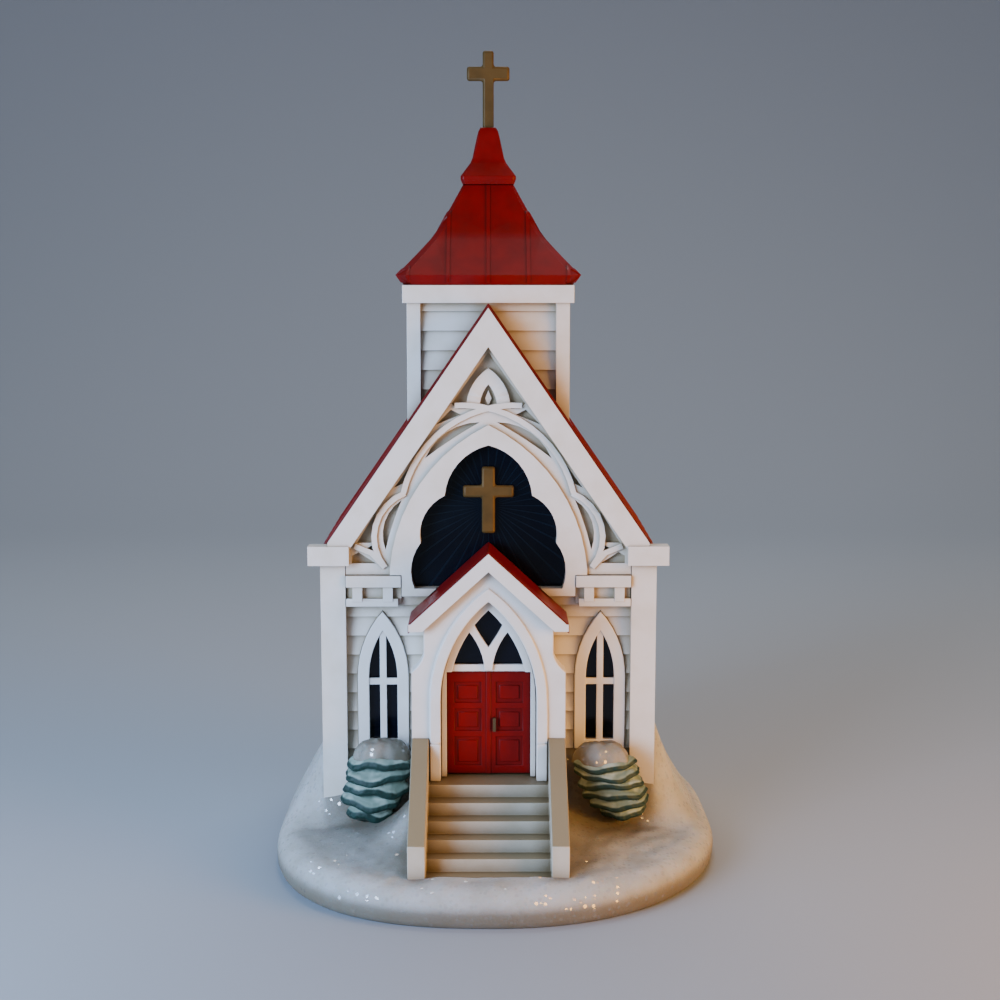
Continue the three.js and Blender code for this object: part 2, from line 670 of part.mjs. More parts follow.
function pushButton() {
  const face = FLANGE + RUN / 2 + WALL + BUTTON_PROUD;
  const bevel = 0.5;
  const profile = [
    [0, 0], [FLANGE_R, 0], [FLANGE_R, FLANGE], [BUTTON_R, FLANGE], [BUTTON_R, face - bevel],
    [BUTTON_R - bevel, face], [0, face],
  ];
  const geometry = new THREE.LatheGeometry(profile.map(([r, h]) => new THREE.Vector2(r, h)), 28);
  geometry.translate(0, stemTip, stemZ);
  return manifold(geometry);
}

function lamp() {
  const foot = boardTop + LAMP.leads;
  const straight = LAMP.body - LAMP.r;
  const dome = Array.from({ length: 6 }, (_, i) => {
    const t = (Math.PI / 2) * (i / 5);
    return [LAMP.r * Math.cos(t), straight + LAMP.r * Math.sin(t)];
  });
  dome[5][0] = 0;
  const profile = [[0, 0], [LAMP.flangeR, 0], [LAMP.flangeR, 0.8], [LAMP.r, 0.8], ...dome];
  const geometry = new THREE.LatheGeometry(profile.map(([r, h]) => new THREE.Vector2(r, h)), 16);
  geometry.rotateX(Math.PI / 2);
  geometry.translate(0, LAMP.y, foot);
  const half = LAMP.wire / 2;
  const legs = [-1, 1].map((side) => {
    const x = side * LAMP.apart;
    return block(x - half, x + half, LAMP.y - half, LAMP.y + half, boardTop - 0.5, foot + BITE);
  });
  return join(manifold(geometry), ...legs);
}

function chipCap() {
  const geometry = new THREE.SphereGeometry(2.6, 20, 10);
  geometry.scale(1, 1, 0.5);
  geometry.translate(4.6, WELL_Y + 3.6, boardTop);
  return cut(manifold(geometry), block(0, 10, WELL_Y, BOARD_BACK, boardTop - 5, boardTop));
}

function resistor() {
  const y = WELL_Y + 4;
  const body = rod(0.8, 'x', -6.6, -3.2, y, boardTop + 0.8, 12);
  const wires = rod(0.25, 'x', -7.6, -2.2, y, boardTop + 0.8, 8);
  const legs = [-7.4, -2.4].map((x) => rod(0.25, 'z', boardTop, boardTop + 0.9, x, y, 8));
  return join(body, wires, ...legs);
}

// Front wall with its corner posts and clapboards

const roofUnder = RIDGE - ROOF_THICK;
const wallTop = roofUnder - 2 * SEAT;
const wallSection = (half) => underSlopes(wallTop, ROOF_FALL, half, FOOT);
const clapFoot = FOOT + 0.4;

const ordered = (a, b) => [Math.min(a, b), Math.max(a, b)];
const sideBlock = (side, x0, x1, ...rest) => block(...ordered(side * x0, side * x1), ...rest);

// The same pointed arch with its outline moved outwards.
function grown(light, by) {
  const rise = light.apex - light.spring;
  const centre = (light.half ** 2 - rise ** 2) / (2 * light.half);
  const radius = light.half - centre + by;
  return {
    half: light.half + by,
    sill: light.sill - by,
    spring: light.spring,
    apex: light.spring + Math.sqrt(radius ** 2 - centre ** 2),
  };
}

const lancetTool = (light, by, x, y0, y1) => prism(shifted(lancet(grown(light, by)), x), 'y', y0, y1);

// The pane sits in a hole that is larger than the light all round.
const PANE_OVER = 0.6;
const glassArch = (shrink) => symmetric([
  ...arc(
    [0, ARCH_APEX[1] - 1.4 - shrink],
    [ARCH_SIDE[0] - 1 - shrink, ARCH_SIDE[1]],
    [ARCH_SPRING[0] - 1 - shrink, ARCH_SPRING[1]],
  ),
  [ARCH_SPRING[0] - 1 - shrink, WINDOW_CORNER[1] - 0.8 + shrink],
]);

function frontWall() {
  const sheet = prism(wallSection(NAVE_HALF), 'y', 0, WALL);
  const top = GABLE_FOOT - SEAT;
  const teeth = boards(0, BOARD_PROUD, clapFoot, top).map(([out, z]) => [-out, z]);
  const clad = prism(
    [[BITE, top], ...teeth.reverse(), [BITE, clapFoot]], 'x', -POST_IN - BITE, POST_IN + BITE,
  );
  const posts = both(
    (side) => sideBlock(side, POST_IN, POST_OUT, -POST_PROUD, WALL, FOOT, RETURN_FOOT - SEAT),
  );
  const porchPlace = block(-PORCH_HALF - SEAT, PORCH_HALF + SEAT, -OPENING_REACH, 0, 0, GABLE_FOOT);
  const framePlaces = [-1, 1].map((side) => lancetTool(LANCET, SEAT, lancetAt(side), -OPENING_REACH, 0));
  const doorway = prism(
    lancet({ ...DOORWAY, sill: LANDING, spring: DOOR_ARCH.spring }),
    'y', -OPENING_REACH, OPENING_REACH,
  );
  const lights = [-1, 1].map(
    (side) => lancetTool(LANCET_LIGHT, PANE_OVER + RUN, lancetAt(side), -OPENING_REACH, OPENING_REACH),
  );
  const wall = join(sheet, cut(clad, porchPlace, ...framePlaces), posts);
  return cut(wall, doorway, prism(glassArch(0), 'y', -OPENING_REACH, OPENING_REACH), ...lights);
}

// Gable front: panel, tracery, rake boards and cornice returns in one moulding

const windowOutline = () => symmetric([
  ...arc(LOBE_APEX, LOBE_1, CUSP_1),
  ...arc(CUSP_1, LOBE_2, CUSP_2),
  ...arc(CUSP_2, LOBE_3, WINDOW_CORNER, 6),
]);

// Half-width of the opening between the rake boards, less a narrow border.
const rakeAt = (z) => (RAKE_INNER - z) / ROOF_FALL - 0.3;

// A crescent between two arcs that share their ends.
const crescent = ({ top, outer, inner, foot }) => [
  ...arc(top, outer, foot, 6), ...arc(foot, inner, top, 6).slice(1, -1),
];

// Sunk fields of the tracery on the right-hand side, from the top down: a field with arcs is
// a crescent between two arcs, the others are plain polygons.
const PEAK_FIELD = { top: RAKE_INNER - 0.7, z: 61.4, foot: [4.1, 60.7] };
const SHOULDER_FIELD = [[3.6, 59.95], [6.8, 58.65], [4.9, 60.6]];
const UPPER_CRESCENT = { top: [1.1, 58.95], outer: [5.3, 57.75], inner: [4.65, 56.8], foot: [8.3, 54.2] };
const MIDDLE_FIELD = [[9.8, 53.9], [10.4, 51.3], [12.4, 50.3]];
const LOWER_CRESCENT = { top: [11.4, 48.7], outer: [13.75, 45.6], inner: [12.65, 45.4], foot: [13.6, 42] };
const CORNER_FIELD = [[14.75, 47.2], [15.3, 45], [15.45, 42.95], [17.4, 42.95]];
const SPUR_FIELD = [[14.4, 41.3], [16.2, 42.15], [15.45, 42.6]];
const FOOT_FIELD = [[14.9, 40.2], [18.1, 40.2], [18.1, 41.2], [17.2, 41.7]];
const traceryFields = () => [
  SHOULDER_FIELD,
  crescent(UPPER_CRESCENT),
  MIDDLE_FIELD,
  crescent(LOWER_CRESCENT),
  CORNER_FIELD,
  SPUR_FIELD,
  FOOT_FIELD,
];

// Raised ribs on the right-hand side: one crosses over from the left rake and follows the
// window's arch down to the right one, one bows round the lower field, one fans out below.
const CROSSING_RIB = [[-4.4, 61.15], [5.4, 58.35], [11.2, 49.6]];
const BOWED_RIB = [[11, 49.6], [15, 44.8], [13.7, 39.7]];
const FAN_RIB = [[13.7, 39.7], [15.5, 41.65], [17.7, 42.55]];
const traceryRibs = () => [arc(...CROSSING_RIB, 12), arc(...BOWED_RIB, 8), FAN_RIB];

// A band of even width along a path.
function strip(path, half) {
  const sides = [1, -1].map((side) => path.map(([u, v], i) => {
    const [pu, pv] = path[Math.max(0, i - 1)];
    const [nu, nv] = path[Math.min(path.length - 1, i + 1)];
    const size = Math.hypot(nu - pu, nv - pv);
    return [u - (side * half * (nv - pv)) / size, v + (side * half * (nu - pu)) / size];
  }));
  return [...sides[0], ...sides[1].reverse()];
}

const SMALL_ARCH = { half: 2.9, sill: 60.6, spring: 60.7, apex: 66 };
const SMALL_LIGHT = { half: 1.15, sill: 60.7, spring: 60.8, apex: 63.9 };
const DROP = { half: 0.4, foot: 61, top: 63.1 };

function gableFront() {
  const postSide = POST_IN - SEAT;
  const panel = prism(symmetric([
    [0, wallTop],
    [NAVE_HALF, wallTop - ROOF_FALL * NAVE_HALF],
    [NAVE_HALF, RETURN_FOOT],
    [postSide, RETURN_FOOT],
    [postSide, GABLE_FOOT],
  ]), 'y', -PANEL_PROUD, 0);
  const ledge = COURSE_TOP + SEAT;
  const plate = prism(symmetric([
    [0, RAKE_INNER + BITE],
    [(RAKE_INNER + BITE - RETURN_FOOT) / ROOF_FALL, RETURN_FOOT],
    [postSide, RETURN_FOOT],
    [postSide, ledge],
  ]), 'y', -TRACERY_PROUD, -PANEL_PROUD + BITE / 2);
  const surround = prism(symmetric([
    ...arc(ARCH_APEX, ARCH_SIDE, ARCH_SPRING, 10),
    [ARCH_SPRING[0], ledge],
    [COURSE_IN - SEAT, ledge],
    [COURSE_IN - SEAT, WINDOW_CORNER[1] - 1],
  ]), 'y', -SURROUND_PROUD, -PANEL_PROUD + BITE / 2);

  const deep = -PANEL_PROUD;
  const peak = [[0, PEAK_FIELD.top], [rakeAt(PEAK_FIELD.z), PEAK_FIELD.z], PEAK_FIELD.foot];
  const high = prism(symmetric(peak), 'y', -3, deep);
  const arch = prism(lancet(SMALL_ARCH), 'y', -TRACERY_PROUD, deep);
  const light = prism(lancet(SMALL_LIGHT), 'y', -3, deep);
  const drop = prism(
    symmetric([[0, DROP.top], [DROP.half, (DROP.foot + DROP.top) / 2], [0, DROP.foot]]), 'y', -1, deep,
  );
  const fields = traceryFields()
    .flatMap((field) => [field, mirror(field)])
    .map((field) => prism(field, 'y', -3, deep));
  const ribs = traceryRibs().flatMap((path) => [path, mirror(path)]).map((path) => prism(
    strip(path, RIB.half), 'y', -TRACERY_PROUD - RIB.proud, -TRACERY_PROUD + BITE / 2,
  ));
  const tracery = join(cut(join(cut(plate, high), arch), light, ...fields), drop, ...ribs);

  const rakeLine = (top, y0, y1) => cut(
    prism(slopeBand(top, RAKE_INNER, ROOF_FALL, RAKE_END), 'y', y0, y1),
    block(-RETURN_OUT, RETURN_OUT, -4, 1, 0, RETURN_TOP - BITE),
  );
  const rakes = join(
    rakeLine(RAKE_TOP, -RAKE_PROUD, -PANEL_PROUD),
    rakeLine(wallTop, -RAKE_PROUD, -PANEL_PROUD + BITE / 2),
  );
  const returns = both((side) => join(
    sideBlock(side, RETURN_IN, RETURN_OUT, -RETURN_PROUD, -PANEL_PROUD, RETURN_FOOT, RETURN_TOP),
    sideBlock(
      side, RETURN_IN, NAVE_HALF, -RETURN_PROUD, -PANEL_PROUD + BITE / 2, RETURN_FOOT,
      RETURN_FOOT + 1.4,
    ),
  ));
  const porchPlace = prism(
    underSlopes(PORCH_RIDGE + 2 * SEAT, PORCH_FALL, PORCH_EAVE + 1, SHOULDER_TOP), 'y', -4,
    -PANEL_PROUD,
  );
  const moulding = join(panel, tracery, surround, rakes, returns);
  return cut(moulding, prism(windowOutline(), 'y', -4, 1), porchPlace);
}

// Two ledges with brackets between them, on the panel beside the window
function stringCourse(side) {
  const face = -PANEL_PROUD - SEAT / 2;
  const outer = POST_IN - SEAT;
  const slab = (proud, x0, x1, z0, z1) => sideBlock(side, x0, x1, face - proud, face, z0, z1);
  const backing = slab(0.4, COURSE_IN, outer, COURSE_FOOT + BITE, COURSE_TOP - BITE);
  const ledge = slab(COURSE_PROUD, COURSE_IN, outer, COURSE_UNDER, COURSE_TOP);
  const low = slab(COURSE_PROUD - 0.4, COURSE_IN + 0.4, outer, COURSE_FOOT + SEAT, COURSE_LOW);
  const brackets = [13.35, 17.4].map((x) => slab(
    COURSE_PROUD - 0.3, x - BRACKET / 2, x + BRACKET / 2, COURSE_LOW - BITE, COURSE_UNDER + BITE,
  ));
  return join(backing, ledge, low, ...brackets);
}

// Pointed windows: a frame with a cross bar outside the wall, a pane set into the wall

function windowFrame(frame, light, barAt, axis, at, from, to) {
  const ring = cut(
    prism(shifted(lancet(frame), at), axis, from, to),
    prism(shifted(lancet(light), at), axis, from - 1, to + 1),
  );
  const bars = [
    [
      [at - BAR / 2, light.sill - BITE], [at + BAR / 2, light.sill - BITE], [at + BAR / 2, light.apex],
      [at - BAR / 2, light.apex],
    ],
    [
      [at - light.half - BITE, barAt - BAR / 2], [at + light.half + BITE, barAt - BAR / 2],
      [at + light.half + BITE, barAt + BAR / 2], [at - light.half - BITE, barAt + BAR / 2],
    ],
  ].map((outline) => prism(outline, axis, from + 0.15, to - 0.15));
  return join(ring, ...bars);
}

const lancetAt = (side) => side * LANCET.x + LANCET.shift;
const windowPane = (light, axis, at, from, to) => prism(
  shifted(lancet(grown(light, PANE_OVER)), at), axis, from, to,
);

const windowCross = () => prism(cross(WINDOW_CROSS, WINDOW_CROSS.foot), 'y', -WINDOW_CROSS.thick, 0);

// Porch

const porchUnder = PORCH_RIDGE - PORCH_SHEET;
const doorArch = (shrink) => lancet(grown({ ...DOOR_ARCH, sill: LANDING - shrink }, -shrink), 10);

function porchWalls() {
  const section = (half) => underSlopes(porchUnder - SEAT, PORCH_FALL, half, LANDING);
  const box = prism(section(PORCH_HALF), 'y', -PORCH_FRONT, -SEAT);
  const room = prism(
    underSlopes(porchUnder - 2, PORCH_FALL, PORCH_HALF - PORCH_WALL, LANDING - 1), 'y',
    PORCH_WALL - PORCH_FRONT, 1,
  );
  const buttresses = both((side) => prism([
    [side * (PORCH_HALF - BITE), LANDING],
    [side * BUTTRESS_OUT, LANDING],
    [side * BUTTRESS_OUT, SHOULDER_FOOT],
    ...arc(
      [side * BUTTRESS_OUT, SHOULDER_FOOT], [side * SHOULDER_BOW.x, SHOULDER_BOW.z],
      [side * PORCH_HALF, SHOULDER_TOP], 5,
    ).slice(1),
    [side * (PORCH_HALF - BITE), SHOULDER_TOP],
  ], 'y', -PORCH_FRONT, BUTTRESS_DEEP - PORCH_FRONT));
  const panelPlace = block(-PORCH_HALF, PORCH_HALF, -PANEL_PROUD - SEAT, 0, GABLE_FOOT - SEAT, PORCH_RIDGE);
  const arch = prism(doorArch(0), 'y', -PORCH_FRONT - 1, -PORCH_FRONT + PORCH_WALL + 1);
  const face = -PORCH_FRONT;
  const casing = cut(
    prism(doorArch(-CASING.wide), 'y', face - CASING.proud, face + BITE),
    block(-FAR, FAR, -FAR, FAR, 0, PLINTH.top - BITE),
  );
  const plinths = both((side) => sideBlock(
    side, DOOR_ARCH.half, DOOR_ARCH.half + CASING.wide, face - PLINTH.proud, face + BITE,
    LANDING, PLINTH.top,
  ));
  return cut(join(box, buttresses, casing, plinths), room, panelPlace, arch);
}

function porchTrim() {
  const half = PORCH_EAVE - SEAT;
  const boardsFront = prism(
    slopeBand(PORCH_RAKE_TOP, PORCH_RAKE_INNER, PORCH_FALL, half), 'y', -PORCH_RAKE_FRONT,
    -PORCH_RAKE_BACK,
  );
  const soffit = prism(
    slopeBand(porchUnder - SEAT, PORCH_RAKE_INNER + 0.2, PORCH_FALL, half), 'y',
    -PORCH_RAKE_FRONT + SEAT, -PORCH_FRONT - SEAT,
  );
  const returns = both((side) => sideBlock(
    side, PORCH_HALF + SEAT, half, -PORCH_RAKE_FRONT, -PORCH_FRONT - SEAT,
    PORCH_EAVE_FOOT, PORCH_EAVE_FOOT + 0.9,
  ));
  const clipped = cut(join(boardsFront, soffit), block(-20, 20, -12, 0, 0, PORCH_EAVE_FOOT));
  const roofPlace = prism(
    slopeBand(PORCH_RIDGE + 1, porchUnder - SEAT, PORCH_FALL, PORCH_EAVE + 1),
    'y', -PORCH_RAKE_BACK, 0,
  );
  return cut(join(clipped, returns), roofPlace);
}

const porchRoof = () => prism(
  slopeBand(PORCH_RIDGE, porchUnder, PORCH_FALL, PORCH_EAVE),
  'y', -PORCH_RAKE_BACK + SEAT, -PANEL_PROUD - SEAT,
);

function doorFrame() {
  const back = -FRAME_BACK;
  const front = -FRAME_FRONT;
  const ring = cut(
    prism(doorArch(SEAT), 'y', front, back), prism(doorArch(FRAME_WIDTH), 'y', front - 1, back + 1),
  );
  const transom = block(-JAMB_HALF, JAMB_HALF, front + 0.4, back, TRANSOM_FOOT - SEAT, TRANSOM_TOP);
  const bows = [-1, 1].map((side) => prism(
    [
      ...arc(...BOW_OUTER, 6), ...arc(...BOW_INNER, 6), [BOW_INNER[2][0], BOW_OUTER[0][1]],
    ].map(([x, z]) => [side * x, z]),
    'y', front, back - SEAT,
  ));
  const doorway = block(-JAMB_HALF, JAMB_HALF, front - 1, back + 1, 0, TRANSOM_FOOT);
  const sill = block(-FAR, FAR, front - 1, back + 1, 0, LANDING + SEAT);
  return cut(join(ring, transom, ...bows), doorway, sill);
}

function fanPane() {
  const y = -FRAME_BACK + SEAT;
  const pane = prism(doorArch(SEAT * 3), 'y', y, y + 0.6);
  return cut(pane, block(-10, 10, y - 1, y + 2, 0, TRANSOM_FOOT + 0.3));
}

function entranceDoors() {
  const foot = LANDING + 0.2;
  const top = TRANSOM_FOOT + SEAT;
  const face = -DOOR_FRONT;
  const leaves = block(-DOOR_HALF, DOOR_HALF, face, face + DOOR_THICK, foot, top);
  const bay = (side, inset, [z0, z1], y0, y1) => sideBlock(
    side, 0.95 + inset, 4.5 - inset, y0, y1, z0 + inset, z1 - inset,
  );
  const sides = [-1, 1];
  const sunk = sides.flatMap(
    (side) => PANEL_BAYS.map((z) => bay(side, 0, z, face - 1, face + PANEL_RAISE)),
  );
  const raised = sides.flatMap(
    (side) => PANEL_BAYS.map((z) => bay(side, 0.5, z, face + 0.05, face + PANEL_RAISE + BITE)),
  );
  const { half, proud } = MEETING_BEAD;
  const bead = block(-half, half, face - proud, face + BITE, foot, TRANSOM_FOOT - SEAT);
  return join(cut(leaves, ...sunk), bead, ...raised);
}

function doorHandle() {
  const { x, foot, top, wide, proud } = HANDLE;
  const face = -DOOR_FRONT;
  const grip = block(x - wide / 2, x + wide / 2, face - proud, face - proud + 0.3, foot, top);
  const feet = [foot, top - wide].map(
    (z) => block(x - wide / 2, x + wide / 2, face - proud + 0.1, face, z, z + wide),
  );
  return join(grip, ...feet);
}

// Stairs: landing under the porch, treads and two sloping cheek walls in one moulding
function entranceStairs() {
  const wallFace = -BOARD_PROUD - SEAT;
  const under = block(-CHEEK_OUT, CHEEK_OUT, -PORCH_FRONT - BITE, wallFace, FOOT, LANDING);
  const landing = block(
    -CHEEK_IN - BITE, CHEEK_IN + BITE, -LANDING_FRONT, -PORCH_FRONT + BITE, FOOT, LANDING,
  );
  const treads = Array.from({ length: STEPS }, (_, i) => {
    const start = -LANDING_FRONT - STEP_RUN * i;
    return block(
      -CHEEK_IN - BITE, CHEEK_IN + BITE, start - STEP_RUN, start + BITE, FOOT,
      LANDING - STEP_RISE * (i + 1),
    );
  });
  const back = -PORCH_FRONT - SEAT;
  const cheeks = both((side) => prism(
    [[back, FOOT], [-STAIR_FRONT, FOOT], [-STAIR_FRONT, CHEEK_END], [back, CHEEK_TOP]],
    'x', ...ordered(side * CHEEK_IN, side * CHEEK_OUT),
  ));
  const hollow = block(-CHEEK_IN, CHEEK_IN, -PORCH_FRONT, wallFace - WALL, FOOT - 1, LANDING - WALL);
  return cut(join(under, landing, ...treads, cheeks), hollow);
}

// Side and rear walls

function rearShell() {
  const start = WALL + SEAT;
  const outer = prism(wallSection(NAVE_HALF), 'y', start, NAVE_BACK);
  const room = block(WALL - NAVE_HALF, NAVE_HALF - WALL, 0, NAVE_BACK - WALL, 0, FAR);
  const walls = cut(outer, room);
  const boardTop = wallTop - ROOF_FALL * NAVE_HALF - BITE;
  const backBoard = NAVE_BACK + REAR_PROUD;
  const sideTeeth = boards(NAVE_HALF, BOARD_PROUD, clapFoot, boardTop);
  const sideClad = [[NAVE_HALF - BITE, boardTop], ...sideTeeth.reverse(), [NAVE_HALF - BITE, clapFoot]];
  const claddings = both((side) => prism(
    sideClad.map(([x, z]) => [side * x, z]),
    'y', start + SIDE_BOARD - BITE, backBoard - SIDE_BOARD + BITE,
  ));
  const rearTeeth = boards(NAVE_BACK, BOARD_PROUD, clapFoot, RIDGE);
  const rearClad = cut(
    prism(
      [[NAVE_BACK - BITE, RIDGE], ...rearTeeth.reverse(), [NAVE_BACK - BITE, clapFoot]], 'x',
      -NAVE_HALF, NAVE_HALF,
    ),
    prism(overSlopes(wallTop, ROOF_FALL, ROOF_EAVE, FAR), 'y', 0, FAR),
  );
  const corners = both((side) => join(
    sideBlock(side, NAVE_HALF - BITE, POST_OUT, start, start + SIDE_BOARD, FOOT, RETURN_FOOT - SEAT),
    sideBlock(
      side, NAVE_HALF - BITE, POST_OUT, backBoard - SIDE_BOARD, backBoard, FOOT, RETURN_FOOT - SEAT,
    ),
    sideBlock(side, POST_IN, NAVE_HALF, NAVE_BACK - BITE, backBoard, FOOT, RETURN_FOOT - SEAT),
  ));
  const sidePlaces = [-1, 1].flatMap((side) => SIDE_LANCET_AT.flatMap((y) => [
    prism(shifted(lancet(grown(SIDE_LANCET, SEAT)), y), 'x', ...ordered(side * NAVE_HALF, side * FAR)),
    prism(
      shifted(lancet(grown(SIDE_LIGHT, PANE_OVER + RUN)), y),
      'x',
      ...ordered(side * (NAVE_HALF - WALL - 1), side * FAR),
    ),
  ]));
  const rearPlaces = [
    prism(lancet(grown(REAR_LANCET, SEAT)), 'y', NAVE_BACK, FAR),
    prism(lancet(grown(REAR_LIGHT, PANE_OVER + RUN)), 'y', WELL_Y, FAR),
    rod(BUTTON_R + RUN, 'y', WELL_Y, FAR, 0, stemZ, 28),
  ];
  return cut(join(walls, claddings, rearClad, corners), ...sidePlaces, ...rearPlaces);
}

// Main roof: one folded sheet with standing seams
function mainRoof() {
  const sheet = prism(
    slopeBand(RIDGE, roofUnder, ROOF_FALL, ROOF_EAVE), 'y', SEAT - PANEL_PROUD, ROOF_BACK,
  );
  const rise = SEAM_PROUD * Math.hypot(1, ROOF_FALL);
  const seams = [];
  for (let y = ROOF_BACK - SEAM_WIDTH; y > 0; y -= SEAM_PITCH) {
    seams.push(
      prism(
        slopeBand(RIDGE + rise, roofUnder + BITE, ROOF_FALL, ROOF_EAVE - SEAT), 'y', y - SEAM_WIDTH / 2,
        y + SEAM_WIDTH / 2,
      ),
    );
  }
  const clear = CORNICE + BITE;
  return join(
    sheet, cut(join(...seams), block(-clear, clear, TOWER_AXIS - clear, TOWER_AXIS + clear, 0, FAR)),
  );
}

// Tower and spire

const towerSquare = (half, z, corner = 0) => {
  const c = half * corner;
  const points = corner
    ? [[half, -half + c], [half, half - c], [half - c, half], [-half + c, half],
      [-half, half - c], [-half, -half + c], [-half + c, -half], [half - c, -half]]
    : [[half, -half], [half, half], [-half, half], [-half, -half]];
  return points.map(([x, y]) => [x, TOWER_AXIS + y, z]);
};

const towerBox = (half, z0, z1) => block(-half, half, TOWER_AXIS - half, TOWER_AXIS + half, z0, z1);

function towerWalls() {
  const foot = RIDGE - ROOF_FALL * CORNICE;
  const teeth = boards(TOWER_CORE, BOARD_PROUD, foot, CORNICE_FOOT + BITE);
  const core = loft(teeth.map(([half, z]) => towerSquare(half, z)));
  const strip = TOWER_POST - TOWER_POST_IN;
  const posts = [-1, 1].flatMap((sx) => [-1, 1].map((sy) => {
    const x = sx * (TOWER_POST - strip / 2);
    const y = TOWER_AXIS + sy * (TOWER_POST - strip / 2);
    return block(x - strip / 2, x + strip / 2, y - strip / 2, y + strip / 2, foot, CORNICE_FOOT + BITE);
  }));
  const solid = join(core, ...posts, towerBox(CORNICE, CORNICE_FOOT, TOWER_TOP));
  const saddle = prism(underSlopes(RIDGE + 2 * SEAT, ROOF_FALL, ROOF_EAVE, 0), 'y', -FAR, FAR);
  return cut(solid, towerBox(TOWER_VOID, 0, FAR), saddle);
}

// Half-width of the spire and of its cap, by height over the tower and over the spire.
const SPIRE_LINE = [
  [SPIRE_FOOT_HALF, 0], [EAVE_HALF, EAVE_RISE],
  [SPIRE_KNEE.half + SPIRE_KNEE.soft, SPIRE_KNEE.rise - SPIRE_KNEE.soft],
  [SPIRE_KNEE.half - SPIRE_KNEE.soft / 2, SPIRE_KNEE.rise + SPIRE_KNEE.soft],
  [SPIRE_TOP_HALF, SPIRE_RISE],
];
const SPIRE_VOID = [
  [TOWER_VOID - SEAT - 1, -TOWER_VOID], [TOWER_VOID - SEAT - 1, 3.9],
  [SPIRE_KNEE.half - SPIRE_KNEE.soft - SPIRE_WALL, SPIRE_KNEE.rise + SPIRE_KNEE.soft],
  [4.7 - SPIRE_WALL, 10.9],
];
const CAP_LINE = [
  [SPIRE_TOP_HALF, 0.1], [3.75, 0.8], [3.75, 1.2], [2.95, 2.3], [2.45, 3], [2.15, 3.7], [2, 4.4],
  [1.55, 6.5], [1.35, 7.3], [1.05, CAP_RISE],
];

function spireRoof() {
  const skin = (grow) => loft(
    SPIRE_LINE.map(([half, rise]) => towerSquare(half + grow, TOWER_TOP + rise, HIP_CUT)),
  );
  // Seams of the front and back slopes, each cut off where it meets the hips, then turned for the sides.
  const wrap = skin(SPIRE_SEAM);
  const gap = (SEAM_PITCH - SEAM_WIDTH) / 2;
  const between = [-3, -2, -1, 0, 1, 2].map((i) => {
    const x = (i + 0.5) * SEAM_PITCH;
    return block(x - gap, x + gap, -FAR, FAR, 0, FAR);
  });
  const withinHips = [-2, -1, 1, 2].map((i) => {
    const x = i * SEAM_PITCH;
    const reach = Math.abs(x);
    return block(x - SEAM_WIDTH, x + SEAM_WIDTH, TOWER_AXIS - reach, TOWER_AXIS + reach, 0, FAR);
  });
  const belowEaves = block(-FAR, FAR, -FAR, FAR, 0, TOWER_TOP + 0.3);
  const climbing = cut(wrap, ...between, ...withinHips, belowEaves);
  const sideways = climbing
    .translate([0, -TOWER_AXIS, 0])
    .rotate([0, 0, 90])
    .translate([0, TOWER_AXIS, 0]);
  const pivotY = TOWER_AXIS + HANGER_OFF;
  const lug = join(
    rod(LUG, 'x', -LUG / 2, LUG / 2, pivotY, HANGER_Z, 20),
    block(-LUG / 2, LUG / 2, TOWER_AXIS + SPIRE_TOP_HALF, pivotY, HANGER_Z - LUG, HANGER_Z + LUG / 2),
  );
  const eye = rod(WIRE / 2 + RUN, 'x', -LUG, LUG, pivotY, HANGER_Z, 16);
  const register = towerBox(TOWER_VOID - SEAT, TOWER_TOP - REGISTER, TOWER_TOP + BITE);
  const hollow = loft(SPIRE_VOID.map(([half, rise]) => towerSquare(half, TOWER_TOP + rise)));
  const shell = join(skin(0), climbing, sideways, lug, register);
  return cut(shell, hollow, eye, towerBox(PEG, TOWER_TOP + SPIRE_RISE / 2, FAR));
}

function spireCap() {
  const body = loft(CAP_LINE.map(([half, rise]) => towerSquare(half, SPIRE_TOP + rise, HIP_CUT)));
  const tenon = towerBox(PEG - SEAT, SPIRE_TOP - PEG, SPIRE_TOP + BITE);
  const { shaft, thick, tenon: deep } = SPIRE_CROSS;
  const socket = block(
    -shaft / 2 - SEAT / 2, shaft / 2 + SEAT / 2,
    TOWER_AXIS - thick / 2 - SEAT / 2, TOWER_AXIS + thick / 2 + SEAT / 2,
    CAP_TOP - deep - SEAT, CAP_TOP + 1,
  );
  return cut(join(body, tenon), socket);
}

function spireCross() {
  const half = SPIRE_CROSS.thick / 2;
  return prism(cross(SPIRE_CROSS, CAP_TOP - SPIRE_CROSS.tenon), 'y', TOWER_AXIS - half, TOWER_AXIS + half);
}

